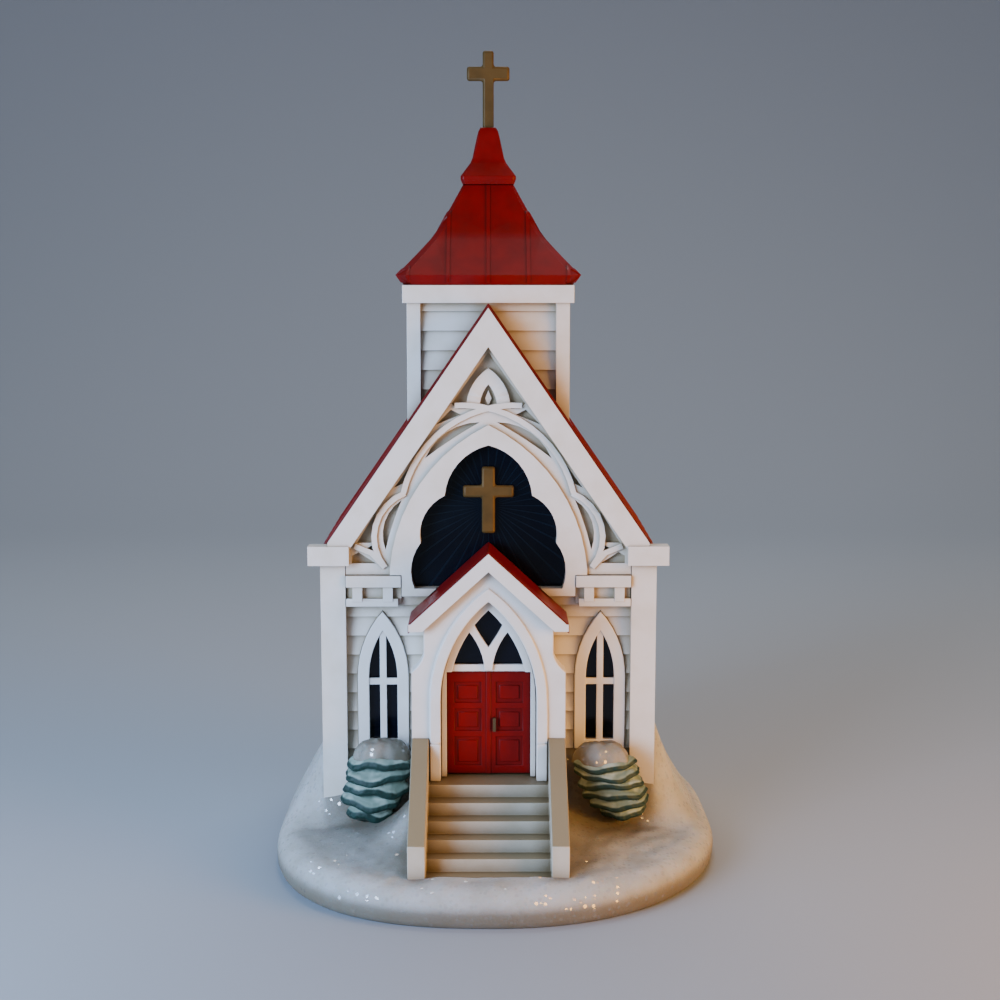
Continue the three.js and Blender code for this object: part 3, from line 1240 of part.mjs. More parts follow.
// A closed wire loop, hanging down the back of the spire from its lug
function hangerLoop() {
  const lean = (LOOP_LEAN * Math.PI) / 180;
  const corner = LOOP_CORNER;
  const straight = LOOP_HALF - corner;
  const turn = (cu, cv, from) => [0, 1, 2, 3].map((i) => {
    const t = ((from + 30 * i) * Math.PI) / 180;
    return [cu + corner * Math.cos(t), cv + corner * Math.sin(t)];
  });
  const path = [
    ...turn(straight, corner, -90), ...turn(straight, LOOP_LONG - corner, 0),
    ...turn(-straight, LOOP_LONG - corner, 90), ...turn(-straight, corner, 180),
  ];
  const down = [0, Math.sin(lean), -Math.cos(lean)];
  const out = [0, Math.cos(lean), Math.sin(lean)];
  const rings = path.map(([u, v], i) => {
    const [pu, pv] = path[(i + path.length - 1) % path.length];
    const [nu, nv] = path[(i + 1) % path.length];
    const size = Math.hypot(nu - pu, nv - pv);
    const side = [(nv - pv) / size, -(nu - pu) / size];
    return Array.from({ length: 8 }, (_, k) => {
      const t = (-2 * Math.PI * k) / 8;
      const r = WIRE / 2;
      const [a, b] = [r * Math.cos(t), r * Math.sin(t)];
      const along = v + a * side[1];
      return [
        u + a * side[0],
        TOWER_AXIS + HANGER_OFF + along * down[1] + b * out[1],
        HANGER_Z + along * down[2] + b * out[2],
      ];
    });
  });
  return loft(rings, true);
}

// Shrubs: tiers of drooping twigs under a cap of snow

function shrub({ x, lean, y, halfX, halfY, foot, top, tiers }, grow = 0) {
  const high = top - foot;
  const step = high / tiers;
  const width = (share) => Math.sqrt(
    1 - 0.75 * Math.max(0, 1 - 1.9 * share) ** 2 - 0.3 * Math.max(0, share - 0.5) ** 2,
  );
  const ring = (scale, z, phase) => Array.from({ length: 18 }, (_, i) => {
    const angle = (2 * Math.PI * i) / 18;
    const lobe = scale * (0.96 + 0.04 * Math.cos(6 * angle + phase));
    const middle = x + lean * Math.min(1, (top - z) / high);
    return [
      middle + (halfX * lobe + grow) * Math.cos(angle),
      y + (halfY * lobe + grow) * Math.sin(angle),
      z,
    ];
  });
  const rings = [ring(0.4, FOOT, 0)];
  for (let tier = 0; tier < tiers; tier += 1) {
    const z = foot + tier * step;
    const wide = width((tier + 0.5) / tiers);
    rings.push(
      ring(0.8 * wide, z, tier),
      ring(wide, z + 0.3 * step, tier),
      ring(0.88 * wide, z + 0.8 * step, tier),
    );
  }
  rings.push(ring(0.3, top + grow, 0));
  return cut(loft(rings), snowMound(SEAT));
}

function shrubSnow(spec) {
  const { x, y, halfX, halfY, top, snowTop } = spec;
  const { deep, wide, skirt } = SNOW_CAP;
  const dome = new THREE.SphereGeometry(1, 20, 10);
  dome.rotateX(Math.PI / 2);
  dome.scale(halfX * wide, halfY * wide, deep);
  dome.translate(x, y, snowTop - deep);
  return cut(manifold(dome), block(-FAR, FAR, -FAR, FAR, 0, top - skirt), shrub(spec, SEAT));
}

const church = new THREE.Group();
church.name = 'church_ornament';

church.add(
  piece('snow_base', snowBase(), SNOW),
  piece('bottom_plate', bottomPlate(), PLASTIC),
  ...PLATE_SCREWS.map(([x, y], i) => piece(`plate_screw_${i + 1}`, screw(SCREW, x, y), STEEL)),
  piece('battery_door', batteryDoor(), PLASTIC),
  piece('battery_door_screw', screw(DOOR_SCREW, 0, doorScrewY), STEEL),
  ...[0, 1, 2].map((order) => piece(`cell_${order + 1}`, cell(order), STEEL)),
  piece('positive_contact', flatContact(), NICKEL),
  piece('negative_contact', springContact(), NICKEL),
  piece('circuit_board', circuitBoard(), BOARD_GREEN),
  ...[-1, 1].map((side) => piece(`board_screw_${side < 0 ? 'left' : 'right'}`, boardScrew(side), STEEL)),
  piece('chip_cap', chipCap(), BLACK),
  piece('resistor', resistor(), PLASTIC),
  piece('light_switch', lightSwitch(), BLACK),
  piece('switch_stem', switchStem(), BLACK),
  piece('push_button', pushButton(), PLASTIC),
  piece('led_lamp', lamp(), AMBER),
  piece('front_wall', frontWall(), WHITE),
  piece('gable_front', gableFront(), WHITE),
  piece('string_course_left', stringCourse(-1), WHITE),
  piece('string_course_right', stringCourse(1), WHITE),
  piece('gable_window_pane', prism(glassArch(RUN), 'y', 0, GLASS), NAVY),
  piece('window_cross', windowCross(), GOLD),
  piece('porch_walls', porchWalls(), WHITE),
  piece('porch_gable_trim', porchTrim(), WHITE),
  piece('porch_roof', porchRoof(), RED),
  piece('door_frame', doorFrame(), WHITE),
  piece('fanlight_pane', fanPane(), NAVY),
  piece('entrance_doors', entranceDoors(), RED),
  piece('door_handle', doorHandle(), BRASS),
  piece('entrance_stairs', entranceStairs(), WHITE),
  piece('rear_shell', rearShell(), WHITE),
  piece('main_roof', mainRoof(), RED),
  piece('tower_walls', towerWalls(), WHITE),
  piece('spire_roof', spireRoof(), RED),
  piece('spire_cap', spireCap(), RED),
  piece('spire_cross', spireCross(), GOLD),
  piece('hanger_loop', hangerLoop(), BRASS),
);

for (const [side, word] of [[-1, 'left'], [1, 'right']]) {
  const spec = side < 0 ? SHRUB_LEFT : SHRUB_RIGHT;
  church.add(
    piece(
      `lancet_frame_${word}`,
      windowFrame(LANCET, LANCET_LIGHT, BAR_AT, 'y', lancetAt(side), -FRAME_PROUD, 0),
      WHITE,
    ),
    piece(`lancet_pane_${word}`, windowPane(LANCET_LIGHT, 'y', lancetAt(side), 0, GLASS), NAVY),
    piece(`shrub_${word}`, shrub(spec), GREEN),
    piece(`shrub_snow_${word}`, shrubSnow(spec), SNOW),
  );
  SIDE_LANCET_AT.forEach((y, i) => {
    const frameSpan = ordered(side * NAVE_HALF, side * (NAVE_HALF + FRAME_PROUD));
    const paneSpan = ordered(side * (NAVE_HALF - GLASS), side * NAVE_HALF);
    church.add(
      piece(
        `side_frame_${word}_${i + 1}`,
        windowFrame(SIDE_LANCET, SIDE_LIGHT, BAR_AT, 'x', y, ...frameSpan),
        WHITE,
      ),
      piece(`side_pane_${word}_${i + 1}`, windowPane(SIDE_LIGHT, 'x', y, ...paneSpan), NAVY),
    );
  });
}

church.add(
  piece(
    'rear_frame',
    windowFrame(REAR_LANCET, REAR_LIGHT, REAR_BAR_AT, 'y', 0, NAVE_BACK, NAVE_BACK + FRAME_PROUD),
    WHITE,
  ),
  piece('rear_pane', windowPane(REAR_LIGHT, 'y', 0, NAVE_BACK - GLASS, NAVE_BACK), NAVY),
);

for (const mesh of church.children) mesh.geometry.translate(-BASE_CENTRE_X, -BASE_CENTRE_Y, 0);

export default church;
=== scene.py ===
"""Looks of a small lit church ornament: painted mouldings, glitter snow, shrubs and panes.

Lengths in the classes are millimetres on the maker's drawing, whose origin lies on the
church's centreline at the face of the front wall. place() turns them into metres in the
part's own frame.
"""

import logging
import math
from collections.abc import Sequence
from dataclasses import dataclass, field
from enum import Enum

import bmesh
import bpy
import numpy as np
from mathutils import Matrix, Vector


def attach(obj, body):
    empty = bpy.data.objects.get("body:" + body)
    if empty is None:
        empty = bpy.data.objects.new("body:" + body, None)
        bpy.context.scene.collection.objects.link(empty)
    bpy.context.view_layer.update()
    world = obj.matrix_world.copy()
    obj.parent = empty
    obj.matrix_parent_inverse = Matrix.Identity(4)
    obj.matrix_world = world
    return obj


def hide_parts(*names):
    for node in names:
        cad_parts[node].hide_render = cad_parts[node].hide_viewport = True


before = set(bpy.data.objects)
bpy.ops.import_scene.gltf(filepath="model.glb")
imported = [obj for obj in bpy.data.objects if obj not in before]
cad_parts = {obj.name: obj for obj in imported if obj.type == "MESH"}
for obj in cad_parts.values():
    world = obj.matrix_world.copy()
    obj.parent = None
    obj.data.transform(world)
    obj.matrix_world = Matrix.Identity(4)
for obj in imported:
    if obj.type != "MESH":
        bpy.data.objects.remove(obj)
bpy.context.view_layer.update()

log = logging.getLogger("ornament")

MM = 0.001
DRAWING_ORIGIN = np.array((1.0, 3.1, 0.0))  # the part frame's origin on the drawing, mm
PHOTO_PIXELS = 1000
LENS_PIXELS = 1600.0
SENSOR_MM = 36.0


def place(points: np.ndarray) -> np.ndarray:
    """Moves drawing points to the part frame.

    Args:
        points: An array whose last axis is x, y, z in mm on the drawing.

    Returns:
        The same points in metres in the part frame: (p - origin) / 1000.
    """
    return (np.asarray(points, float) - DRAWING_ORIGIN) * MM


def linear(code: str) -> tuple[float, float, float, float]:
    """Turns an sRGB hex colour into the linear colour that shaders use.

    Args:
        code: Six hex digits, with or without a leading #.

    Returns:
        Linear red, green, blue and an alpha of 1.
    """
    digits = code.lstrip("#")
    values = [int(digits[i : i + 2], 16) / 255 for i in (0, 2, 4)]
    flat = [v / 12.92 if v <= 0.04045 else ((v + 0.055) / 1.055) ** 2.4 for v in values]
    return (*flat, 1.0)


def spots_per_metre(size_mm: float) -> float:
    """Texture scale whose pattern repeats about every size_mm on Object coordinates."""
    return 1.0 / (size_mm * MM)


class NodeSketch:
    """A material under construction: its shader and the node patterns that finishes share."""

    def __init__(self, name: str) -> None:
        """Starts the material with one principled shader on its output.

        Args:
            name: The material's name.
        """
        self.material = bpy.data.materials.new(name)
        self.material.use_nodes = True
        self.tree = self.material.node_tree
        self.tree.nodes.clear()
        self.shader = self.add("ShaderNodeBsdfPrincipled")
        self.add("ShaderNodeOutputMaterial", {"Surface": self.shader.outputs["BSDF"]})
        self.coordinates = self.add("ShaderNodeTexCoord")
        self.spot = self.coordinates.outputs["Object"]

    def add(self, kind: str, inputs: dict | None = None, **properties: object) -> bpy.types.Node:
        """Adds one node.

        Args:
            kind: The node's type name.
            inputs: A socket, a value or an sRGB code for its inputs, by name or number.
            **properties: Settings of the node itself.

        Returns:
            The new node.
        """
        node = self.tree.nodes.new(kind)
        for key, value in properties.items():
            setattr(node, key, value)
        for key, value in (inputs or {}).items():
            self.put(node, key, value)
        return node

    def put(self, node: bpy.types.Node, key: str | int, value: object) -> None:
        """Joins a socket to an input, or sets the input to a value or an sRGB colour.

        Args:
            node: The node.
            key: The input's name or number.
            value: The socket, value or colour.
        """
        if isinstance(value, bpy.types.NodeSocket):
            self.tree.links.new(value, node.inputs[key])
        else:
            node.inputs[key].default_value = linear(value) if isinstance(value, str) else value

    def noise(
        self,
        size_mm: float,
        detail: float,
        roughness: float = 0.5,
        at: bpy.types.NodeSocket | None = None,
    ) -> bpy.types.NodeSocket:
        """Adds clouds.

        Args:
            size_mm: About how wide they are.
            detail: How many finer layers lie over them.
            roughness: How strong the finer layers are.
            at: The coordinates, or None for Object coordinates.

        Returns:
            Their strength from 0 to 1.
        """
        inputs = {"Vector": self.spot if at is None else at, "Scale": spots_per_metre(size_mm)}
        inputs |= {"Detail": detail, "Roughness": roughness}
        return self.add("ShaderNodeTexNoise", inputs).outputs["Fac"]

    def cells(self, size_mm: float) -> bpy.types.Node:
        """Scattered cells about size_mm across."""
        inputs = {"Vector": self.spot, "Scale": spots_per_metre(size_mm)}
        return self.add("ShaderNodeTexVoronoi", inputs)

    def spread(
        self,
        value: bpy.types.NodeSocket,
        source: tuple[float, float] = (0.0, 1.0),
        target: tuple[float, float] = (0.0, 1.0),
    ) -> bpy.types.NodeSocket:
        """Maps one range to another and clamps to it.

        Args:
            value: The number to map.
            source: The two ends that it comes from.
            target: The two ends that it goes to.

        Returns:
            The mapped number.
        """
        ends = {"From Min": source[0], "From Max": source[1]}
        ends |= {"To Min": target[0], "To Max": target[1]}
        return self.add("ShaderNodeMapRange", {"Value": value} | ends).outputs["Result"]

    def blend(
        self, share: bpy.types.NodeSocket, first: object, second: object
    ) -> bpy.types.NodeSocket:
        """Mixes two colours: the first at a share of 0, the second at 1."""
        inputs = {0: share, 6: first, 7: second}
        return self.add("ShaderNodeMix", inputs, data_type="RGBA").outputs[2]

    def math(self, operation: str, *values: object, clamp: bool = False) -> bpy.types.NodeSocket:
        """Works out one number from sockets and values."""
        settings = {"operation": operation, "use_clamp": clamp}
        return self.add("ShaderNodeMath", dict(enumerate(values)), **settings).outputs[0]

    def vector(self, operation: str, *values: object) -> bpy.types.NodeSocket:
        """Works out one vector.

        Args:
            operation: The sum's name.
            *values: Its sockets and values; the second of SCALE is the factor.

        Returns:
            The vector.
        """
        keys = (0, "Scale") if operation == "SCALE" else range(len(values))
        inputs = dict(zip(keys, values))
        return self.add("ShaderNodeVectorMath", inputs, operation=operation).outputs["Vector"]

    def shade_and_wash(
        self, reach_mm: float, sky: tuple[float, float], share: float
    ) -> bpy.types.NodeSocket:
        """Darkens corners and hollows by how little sky they see: painted shade, which on the
        paints also stands for thin paint pooled there.

        Args:
            reach_mm: How far a corner's walls count.
            sky: How much sky is seen where the painted shade is full, and where it ends.
            share: The full share of painted shade.

        Returns:
            The share of painted shade.
        """
        inputs = {"Distance": reach_mm * MM}
        seen = self.add("ShaderNodeAmbientOcclusion", inputs, samples=8).outputs["AO"]
        return self.spread(seen, sky, (share, 0.0))

    def bump(
        self, height: bpy.types.NodeSocket, strength: float, depth_mm: float
    ) -> bpy.types.NodeSocket:
        """Normal of a surface that rises and falls by about depth_mm."""
        inputs = {"Height": height, "Strength": strength, "Distance": depth_mm * MM}
        return self.add("ShaderNodeBump", inputs).outputs["Normal"]

    def finish(self, inputs: dict[str, object]) -> bpy.types.Material:
        """Ends the material.

        Args:
            inputs: Sockets, values and colours for the shader's inputs, by name.

        Returns:
            The material.
        """
        for key, value in inputs.items():
            self.put(self.shader, key, value)
        return self.material


class Body(Enum):
    """The rigid bodies that the scene's own pieces ride on."""

    CHURCH = "church"


class Slot(Enum):
    """The record's material slots."""

    SNOW = "snow"
    WHITE = "white_paint"
    RED = "red_paint"
    GOLD = "gold_paint"
    PANE = "navy_pane"
    GREEN = "evergreen"
    PLASTIC = "base_plastic"
    SCREW = "screw_steel"
    CELL = "cell_steel"
    CONTACT = "contact_nickel"
    BRASS = "brass"
    BOARD = "board_green"
    BLACK = "black_plastic"
    LAMP = "lamp_epoxy"


@dataclass(frozen=True)
class BrushedPaint:
    """Acrylic enamel brushed by hand over moulded resin.

    The film is slightly uneven, which the eye reads as a soft, wavering gloss over a clean
    colour. Grooves and inner corners are painted darker: partly thin dark paint pooled there,
    partly painted shade. Where a top shade colour is given, the faces that look up are painted
    in it as shade.
    """

    name: str
    colour: str
    pooled: str
    # Dark colour for grooves and inner corners: pooled paint and painted shade.
    wash_and_shade: str
    roughness: float
    coat: float = 0.0
    coat_roughness: float = 0.12
    metallic: float = 0.0
    wash_and_shade_share: float = 0.5
    wash_and_shade_reach_mm: float = 1.1
    wash_and_shade_sky: tuple[float, float] = (0.35, 0.95)
    mottle_mm: float = 3.0
    mottle_range: tuple[float, float] = (0.4, 0.75)
    film_mm: float = 0.7
    film_depth_mm: float = 0.01
    gloss_swing: tuple[float, float] = (-0.06, 0.08)
    sheen: float = 0.5
    # Colour for faces that look up: painted shade.
    top_shade: str | None = None
    top_shade_slope: tuple[float, float] = (0.25, 0.75)

    def build(self) -> bpy.types.Material:
        """Makes the paint.

        Returns:
            The material.
        """
        sketch = NodeSketch(self.name)
        mottle = sketch.spread(sketch.noise(self.mottle_mm, 3.0), self.mottle_range)
        colour = sketch.blend(mottle, self.colour, self.pooled)
        # Painted shade: faces that look up take the top shade colour.
        if self.top_shade is not None:
            normal = sketch.coordinates.outputs["Normal"]
            facing = sketch.add("ShaderNodeSeparateXYZ", {"Vector": normal})
            upward = sketch.spread(facing.outputs["Z"], self.top_shade_slope)
            colour = sketch.blend(upward, colour, self.top_shade)
        # Grooves and inner corners take the darker colour: pooled paint and painted shade.
        shade_in_grooves = sketch.shade_and_wash(self.wash_and_shade_reach_mm, self.wash_and_shade_sky, self.wash_and_shade_share)
        film = sketch.noise(self.film_mm, 3.0)
        low, high = self.gloss_swing
        gloss = sketch.spread(film, target=(self.roughness + low, self.roughness + high))
        return sketch.finish({
            "Base Color": sketch.blend(shade_in_grooves, colour, self.wash_and_shade),
            "Roughness": gloss,
            "Normal": sketch.bump(film, 0.6, self.film_depth_mm),
            "Metallic": self.metallic,
            "Specular IOR Level": self.sheen,
            "Coat Weight": self.coat,
            "Coat Roughness": self.coat_roughness,
        })


@dataclass(frozen=True)
class RayedPane:
    """Tinted acrylic sheet, polished, with fine rays engraved on its back.

    It looks like dark blue glass; where rays are wanted, faint lighter lines run out from
    a point at the foot of the cross.
    """

    name: str
    colour: str
    ray_colour: str
    hub: tuple[float, float] | None = None
    rays: int = 40
    ray_crest: tuple[float, float] = (0.8, 1.0)
    ray_share: float = 0.45
    ripple_mm: float = 6.0
    ripple_range: tuple[float, float] = (0.35, 0.75)
    ripple_share: float = 0.25
    ripple_depth_mm: float = 0.02
    roughness: float = 0.16
    ior: float = 1.49
    sheen: float = 0.3

    def build(self) -> bpy.types.Material:
        """Makes the pane.

        Returns:
            The material.
        """
        sketch = NodeSketch(self.name)
        ripple = sketch.noise(self.ripple_mm, 2.0)
        share = sketch.spread(ripple, self.ripple_range, (0.0, self.ripple_share))
        if self.hub is not None:
            share = self._rays(sketch, share)
        return sketch.finish({
            "Base Color": sketch.blend(share, self.colour, self.ray_colour),
            "Normal": sketch.bump(ripple, 0.25, self.ripple_depth_mm),
            "Roughness": self.roughness,
            "IOR": self.ior,
            "Specular IOR Level": self.sheen,
        })

    def _rays(self, sketch: NodeSketch, share: bpy.types.NodeSocket) -> bpy.types.NodeSocket:
        """Adds the engraved rays: thin crests of a cosine of the angle round the hub.

        Args:
            sketch: The material under construction.
            share: How much ray colour the plain pane already shows.

        Returns:
            The share of ray colour with the rays added.
        """
        x, z = place(np.array((self.hub[0], 0.0, self.hub[1])))[[0, 2]]
        shifted = {"Vector": sketch.spot, "Location": (-x, 0.0, -z)}
        centred = sketch.add("ShaderNodeMapping", shifted).outputs["Vector"]
        parts = sketch.add("ShaderNodeSeparateXYZ", {"Vector": centred})
        angle = sketch.math("ARCTAN2", parts.outputs["X"], parts.outputs["Z"])
        wave = sketch.math("COSINE", sketch.math("MULTIPLY", angle, float(self.rays)))
        line = sketch.spread(wave, self.ray_crest, (0.0, self.ray_share))
        return sketch.math("ADD", line, share, clamp=True)


@dataclass(frozen=True)
class GlitterSnow:
    """White texture paint sprinkled with clear foil glitter, with painted shade towards the walls.

    A soft, slightly grainy white, painted grey and tan towards the walls and in hollows as
    shade, with scattered clear flakes. They sank outwards with the wet paint and each keeps
    its own tilt, so only a few flash at a time.
    """

    name: str
    colour: str
    hollow: str
    # Tan colour painted towards walls and into hollows: painted shade.
    wash_and_shade: str
    roughness: float = 0.6
    drift_mm: float = 5.0
    drift_range: tuple[float, float] = (0.32, 0.62)
    wash_and_shade_share: float = 0.85
    wash_and_shade_reach_mm: float = 16.0
    wash_and_shade_sky: tuple[float, float] = (0.58, 1.0)
    grain_mm: float = 0.8
    grain_depth_mm: float = 0.07
    glow: float = 0.15
    glow_mm: float = 0.6
    flake_mm: float = 0.6
    flake_radius: float = 0.4
    flake_share: float = 0.4
    flake_tilt: float = 0.9
    flake_droop: float = 0.55
    flake_clearness: float = 0.65
    flake_roughness: float = 0.05
    flake_ior: float = 2.4

    def build(self) -> bpy.types.Material:
        """Makes the snow.

        Returns:
            The material.
        """
        sketch = NodeSketch(self.name)
        drift = sketch.spread(sketch.noise(self.drift_mm, 5.0, 0.65), self.drift_range)
        colour = sketch.blend(drift, self.hollow, self.colour)
        # Painted shade: towards walls and into hollows the snow takes the tan colour.
        painted_shade = sketch.shade_and_wash(self.wash_and_shade_reach_mm, self.wash_and_shade_sky, self.wash_and_shade_share)
        grain = sketch.noise(self.grain_mm, 4.0, 0.7)
        flakes = sketch.cells(self.flake_mm)
        tint = sketch.add("ShaderNodeSeparateColor", {"Color": flakes.outputs["Color"]})
        chosen = sketch.math("GREATER_THAN", tint.outputs["Red"], 1 - self.flake_share)
        inside = sketch.math("LESS_THAN", flakes.outputs["Distance"], self.flake_radius)
        flake = sketch.math("MULTIPLY", chosen, inside)
        tilt = sketch.vector("SUBTRACT", flakes.outputs["Color"], (0.5, 0.5, 0.5))
        lean = sketch.vector("SCALE", tilt, self.flake_tilt)
        outward = sketch.vector("MULTIPLY", sketch.spot, (1.0, 1.0, 0.0))
        droop = sketch.vector("SCALE", sketch.vector("NORMALIZE", outward), self.flake_droop)
        face = sketch.add("ShaderNodeNewGeometry").outputs["Normal"]
        turned = sketch.vector("ADD", sketch.vector("ADD", face, droop), lean)
        return sketch.finish({
            "Base Color": sketch.blend(painted_shade, colour, self.wash_and_shade),
            "Normal": sketch.bump(grain, 0.8, self.grain_depth_mm),
            "Roughness": self.roughness,
            "Coat Weight": sketch.math("MULTIPLY", flake, self.flake_clearness),
            "Coat Normal": sketch.vector("NORMALIZE", turned),
            "Coat IOR": self.flake_ior,
            "Coat Roughness": self.flake_roughness,
            "Subsurface Weight": self.glow,
            "Subsurface Scale": self.glow_mm * MM,
        })


@dataclass(frozen=True)
class FrostedEvergreen:
    """Green enamel on moulded twigs, with white texture paint dabbed over it.

    The lips of the twigs stay teal green, and the snow attribute says where the white
    lies; the edge between them is ragged, as a dry brush leaves it.
    """

    name: str
    green: str
    dark: str
    frost: str
    pale: str
    roughness: float = 0.62
    dab_mm: float = 1.3
    dab_share: float = 0.5
    dab_range: tuple[float, float] = (0.36, 0.74)
    twig_mm: float = 0.45
    twig_depth_mm: float = 0.08
    heap_mm: float = 2.4
    heap_range: tuple[float, float] = (0.45, 0.62)

    def build(self) -> bpy.types.Material:
        """Makes the shrub paint.

        Returns:
            The material.
        """
        sketch = NodeSketch(self.name)
        dabs = sketch.noise(self.dab_mm, 3.0, 0.55)
        twigs = sketch.noise(self.twig_mm, 3.0)
        lying = sketch.add("ShaderNodeAttribute", attribute_name="snow").outputs["Fac"]
        ragged = sketch.math("MULTIPLY_ADD", dabs, self.dab_share, lying)
        thick = sketch.spread(sketch.noise(self.heap_mm, 2.0), self.heap_range)
        green = sketch.blend(twigs, self.dark, self.green)
        white = sketch.blend(thick, self.frost, self.pale)
        return sketch.finish({
            "Base Color": sketch.blend(sketch.spread(ragged, self.dab_range), green, white),
            "Normal": sketch.bump(twigs, 0.7, self.twig_depth_mm),
            "Roughness": self.roughness,
        })


@dataclass(frozen=True)
class PlatedMetal:
    """Thin bright plating over rolled, stamped or drawn metal.

    Gives a clean mirror broken by fine scratches along one way and a few dull patches.
    """

    name: str
    colour: str
    roughness: float
    scratch_mm: float = 0.25
    scratch_length: float = 8.0
    scratch_depth_mm: float = 0.01
    gloss_swing: tuple[float, float] = (-0.08, 0.14)

    def build(self) -> bpy.types.Material:
        """Makes the metal.

        Returns:
            The material.
        """
        sketch = NodeSketch(self.name)
        drawn = {"Vector": sketch.spot, "Scale": (1.0, self.scratch_length, self.scratch_length)}
        along = sketch.add("ShaderNodeMapping", drawn).outputs["Vector"]
        scratches = sketch.noise(self.scratch_mm * self.scratch_length, 4.0, at=along)
        low, high = self.gloss_swing
        gloss = sketch.spread(scratches, target=(self.roughness + low, self.roughness + high))
        return sketch.finish({
            "Base Color": self.colour,
            "Metallic": 1.0,
            "Roughness": gloss,
            "Normal": sketch.bump(scratches, 0.3, self.scratch_depth_mm),
        })


@dataclass(frozen=True)
class MouldedPlastic:
    """Injection-moulded plastic with a fine spark-eroded grain, as on battery covers."""

    name: str
    colour: str
    worn: str
    roughness: float
    cloud_mm: float = 7.0
    grain_mm: float = 0.35
    grain_depth_mm: float = 0.015
    gloss_swing: tuple[float, float] = (-0.05, 0.07)
    transmission: float = 0.0

    def build(self) -> bpy.types.Material:
        """Makes the plastic.

        Returns:
            The material.
        """
        sketch = NodeSketch(self.name)
        cloud = sketch.noise(self.cloud_mm, 3.0)
        grain = sketch.cells(self.grain_mm).outputs["Distance"]
        low, high = self.gloss_swing
        gloss = sketch.spread(cloud, target=(self.roughness + low, self.roughness + high))
        return sketch.finish({
            "Base Color": sketch.blend(cloud, self.colour, self.worn),
            "Roughness": gloss,
            "Normal": sketch.bump(grain, 0.35, self.grain_depth_mm),
            "Transmission Weight": self.transmission,
        })


Finish = BrushedPaint | RayedPane | GlitterSnow | FrostedEvergreen | PlatedMetal | MouldedPlastic

# The last colour of each BrushedPaint and of the GlitterSnow goes into grooves, corners and
# hollows: painted shade, on the paints also pooled paint.
FINISHES: dict[Slot, Finish] = {
    Slot.WHITE: BrushedPaint(
        "white_satin_enamel", "#ebe9e6", "#e4e1db", "#94866d", 0.44, wash_and_shade_share=0.7,
        wash_and_shade_reach_mm=1.4,
    ),
    Slot.RED: BrushedPaint(
        "deep_red_gloss_enamel", "#740202", "#620202", "#2a0101", 0.38, coat=0.05, sheen=0.2
    ),
    Slot.GOLD: BrushedPaint(
        "dull_gold_paint", "#5c461f", "#493817", "#2c220d", 0.5, metallic=0.3, sheen=0.3
    ),
    Slot.PANE: RayedPane("navy_acrylic_sheet", "#05070f", "#0c142a"),
    Slot.SNOW: GlitterSnow("white_glitter_snow", "#c6cbcd", "#b1b2ac", "#5f533a"),
    Slot.GREEN: FrostedEvergreen(
        "frosted_teal_enamel", "#0b3c33", "#06221c", "#71877a", "#a0b4a8"
    ),
    Slot.PLASTIC: MouldedPlastic("ivory_abs", "#dedcd4", "#cfccc2", 0.5),
    Slot.SCREW: PlatedMetal("zinc_plated_steel", "#b9babb", 0.32),
    Slot.CELL: PlatedMetal("nickelled_cell_can", "#c6c6c3", 0.22),
    Slot.CONTACT: PlatedMetal("nickel_strip", "#c9c7c0", 0.28),
    Slot.BRASS: PlatedMetal("polished_brass_wire", "#b8923f", 0.24),
    Slot.BOARD: MouldedPlastic("green_solder_mask", "#1c5a34", "#123f25", 0.36),
    Slot.BLACK: MouldedPlastic("black_phenolic", "#161617", "#232325", 0.45),
    Slot.LAMP: MouldedPlastic("milky_lamp_epoxy", "#f4ead0", "#efe0b8", 0.16, transmission=0.4),
}


@dataclass
class Paints:
    """Makes each finish once and hands it out."""

    made: dict[str, bpy.types.Material] = field(default_factory=dict)

    def of(self, finish: Finish) -> bpy.types.Material:
        """Gives the material of a finish.

        Args:
            finish: The finish.

        Returns:
            Its material, made on first use.
        """
        if finish.name not in self.made:
            self.made[finish.name] = finish.build()
        return self.made[finish.name]


def report(piece: bpy.types.Object) -> None:
    """Logs one finished piece."""
    log.info("%s: %d points", piece.name, len(piece.data.vertices))


def grid_faces(rows: int, columns: int, wrap_rows: bool, wrap_columns: bool) -> np.ndarray:
    """Quads of a grid of points: (i, j), (i, j + 1), (i + 1, j + 1), (i + 1, j).

    Args:
        rows: Number of rows.
        columns: Number of points in a row.
        wrap_rows: Whether the last row joins the first.
        wrap_columns: Whether a row's last point joins its first.

    Returns:
        An array of four point numbers per quad.
    """
    i = np.arange(rows if wrap_rows else rows - 1)[:, None]
    j = np.arange(columns if wrap_columns else columns - 1)[None, :]
    down, across = (i + 1) % rows, (j + 1) % columns
    corners = (i * columns + j, i * columns + across, down * columns + across, down * columns + j)
    return np.stack(corners, -1).reshape(-1, 4)


def capped_turn(
    points: np.ndarray, first: np.ndarray, last: np.ndarray, climbs: bool
) -> tuple[np.ndarray, list[list[int]]]:
    """Closes a turned sheet with a fan of triangles at each end of its profile.

    Args:
        points: The profile's points at each step of the turn: steps, points, xyz.
        first: The middle of the fan at the profile's start.
        last: The middle of the fan at its end.
        climbs: Whether the profile runs upwards, which turns the faces' order round.

    Returns:
        All points, the two middles last, and the point numbers of each face.
    """
    steps, count = points.shape[:2]
    closed = np.concatenate((points.reshape(-1, 3), first[None], last[None]))
    start = np.arange(steps) * count
    following = np.roll(start, -1)
    near = np.column_stack((start, following, np.full(steps, len(closed) - 2)))
    ends = (following + count - 1, start + count - 1, np.full(steps, len(closed) - 1))
    fans = np.concatenate((near, np.column_stack(ends)))
    body = grid_faces(steps, count, True, False)
    if climbs:
        body, fans = body[:, ::-1], fans[:, [1, 0, 2]]
    return closed, [*body.tolist(), *fans.tolist()]


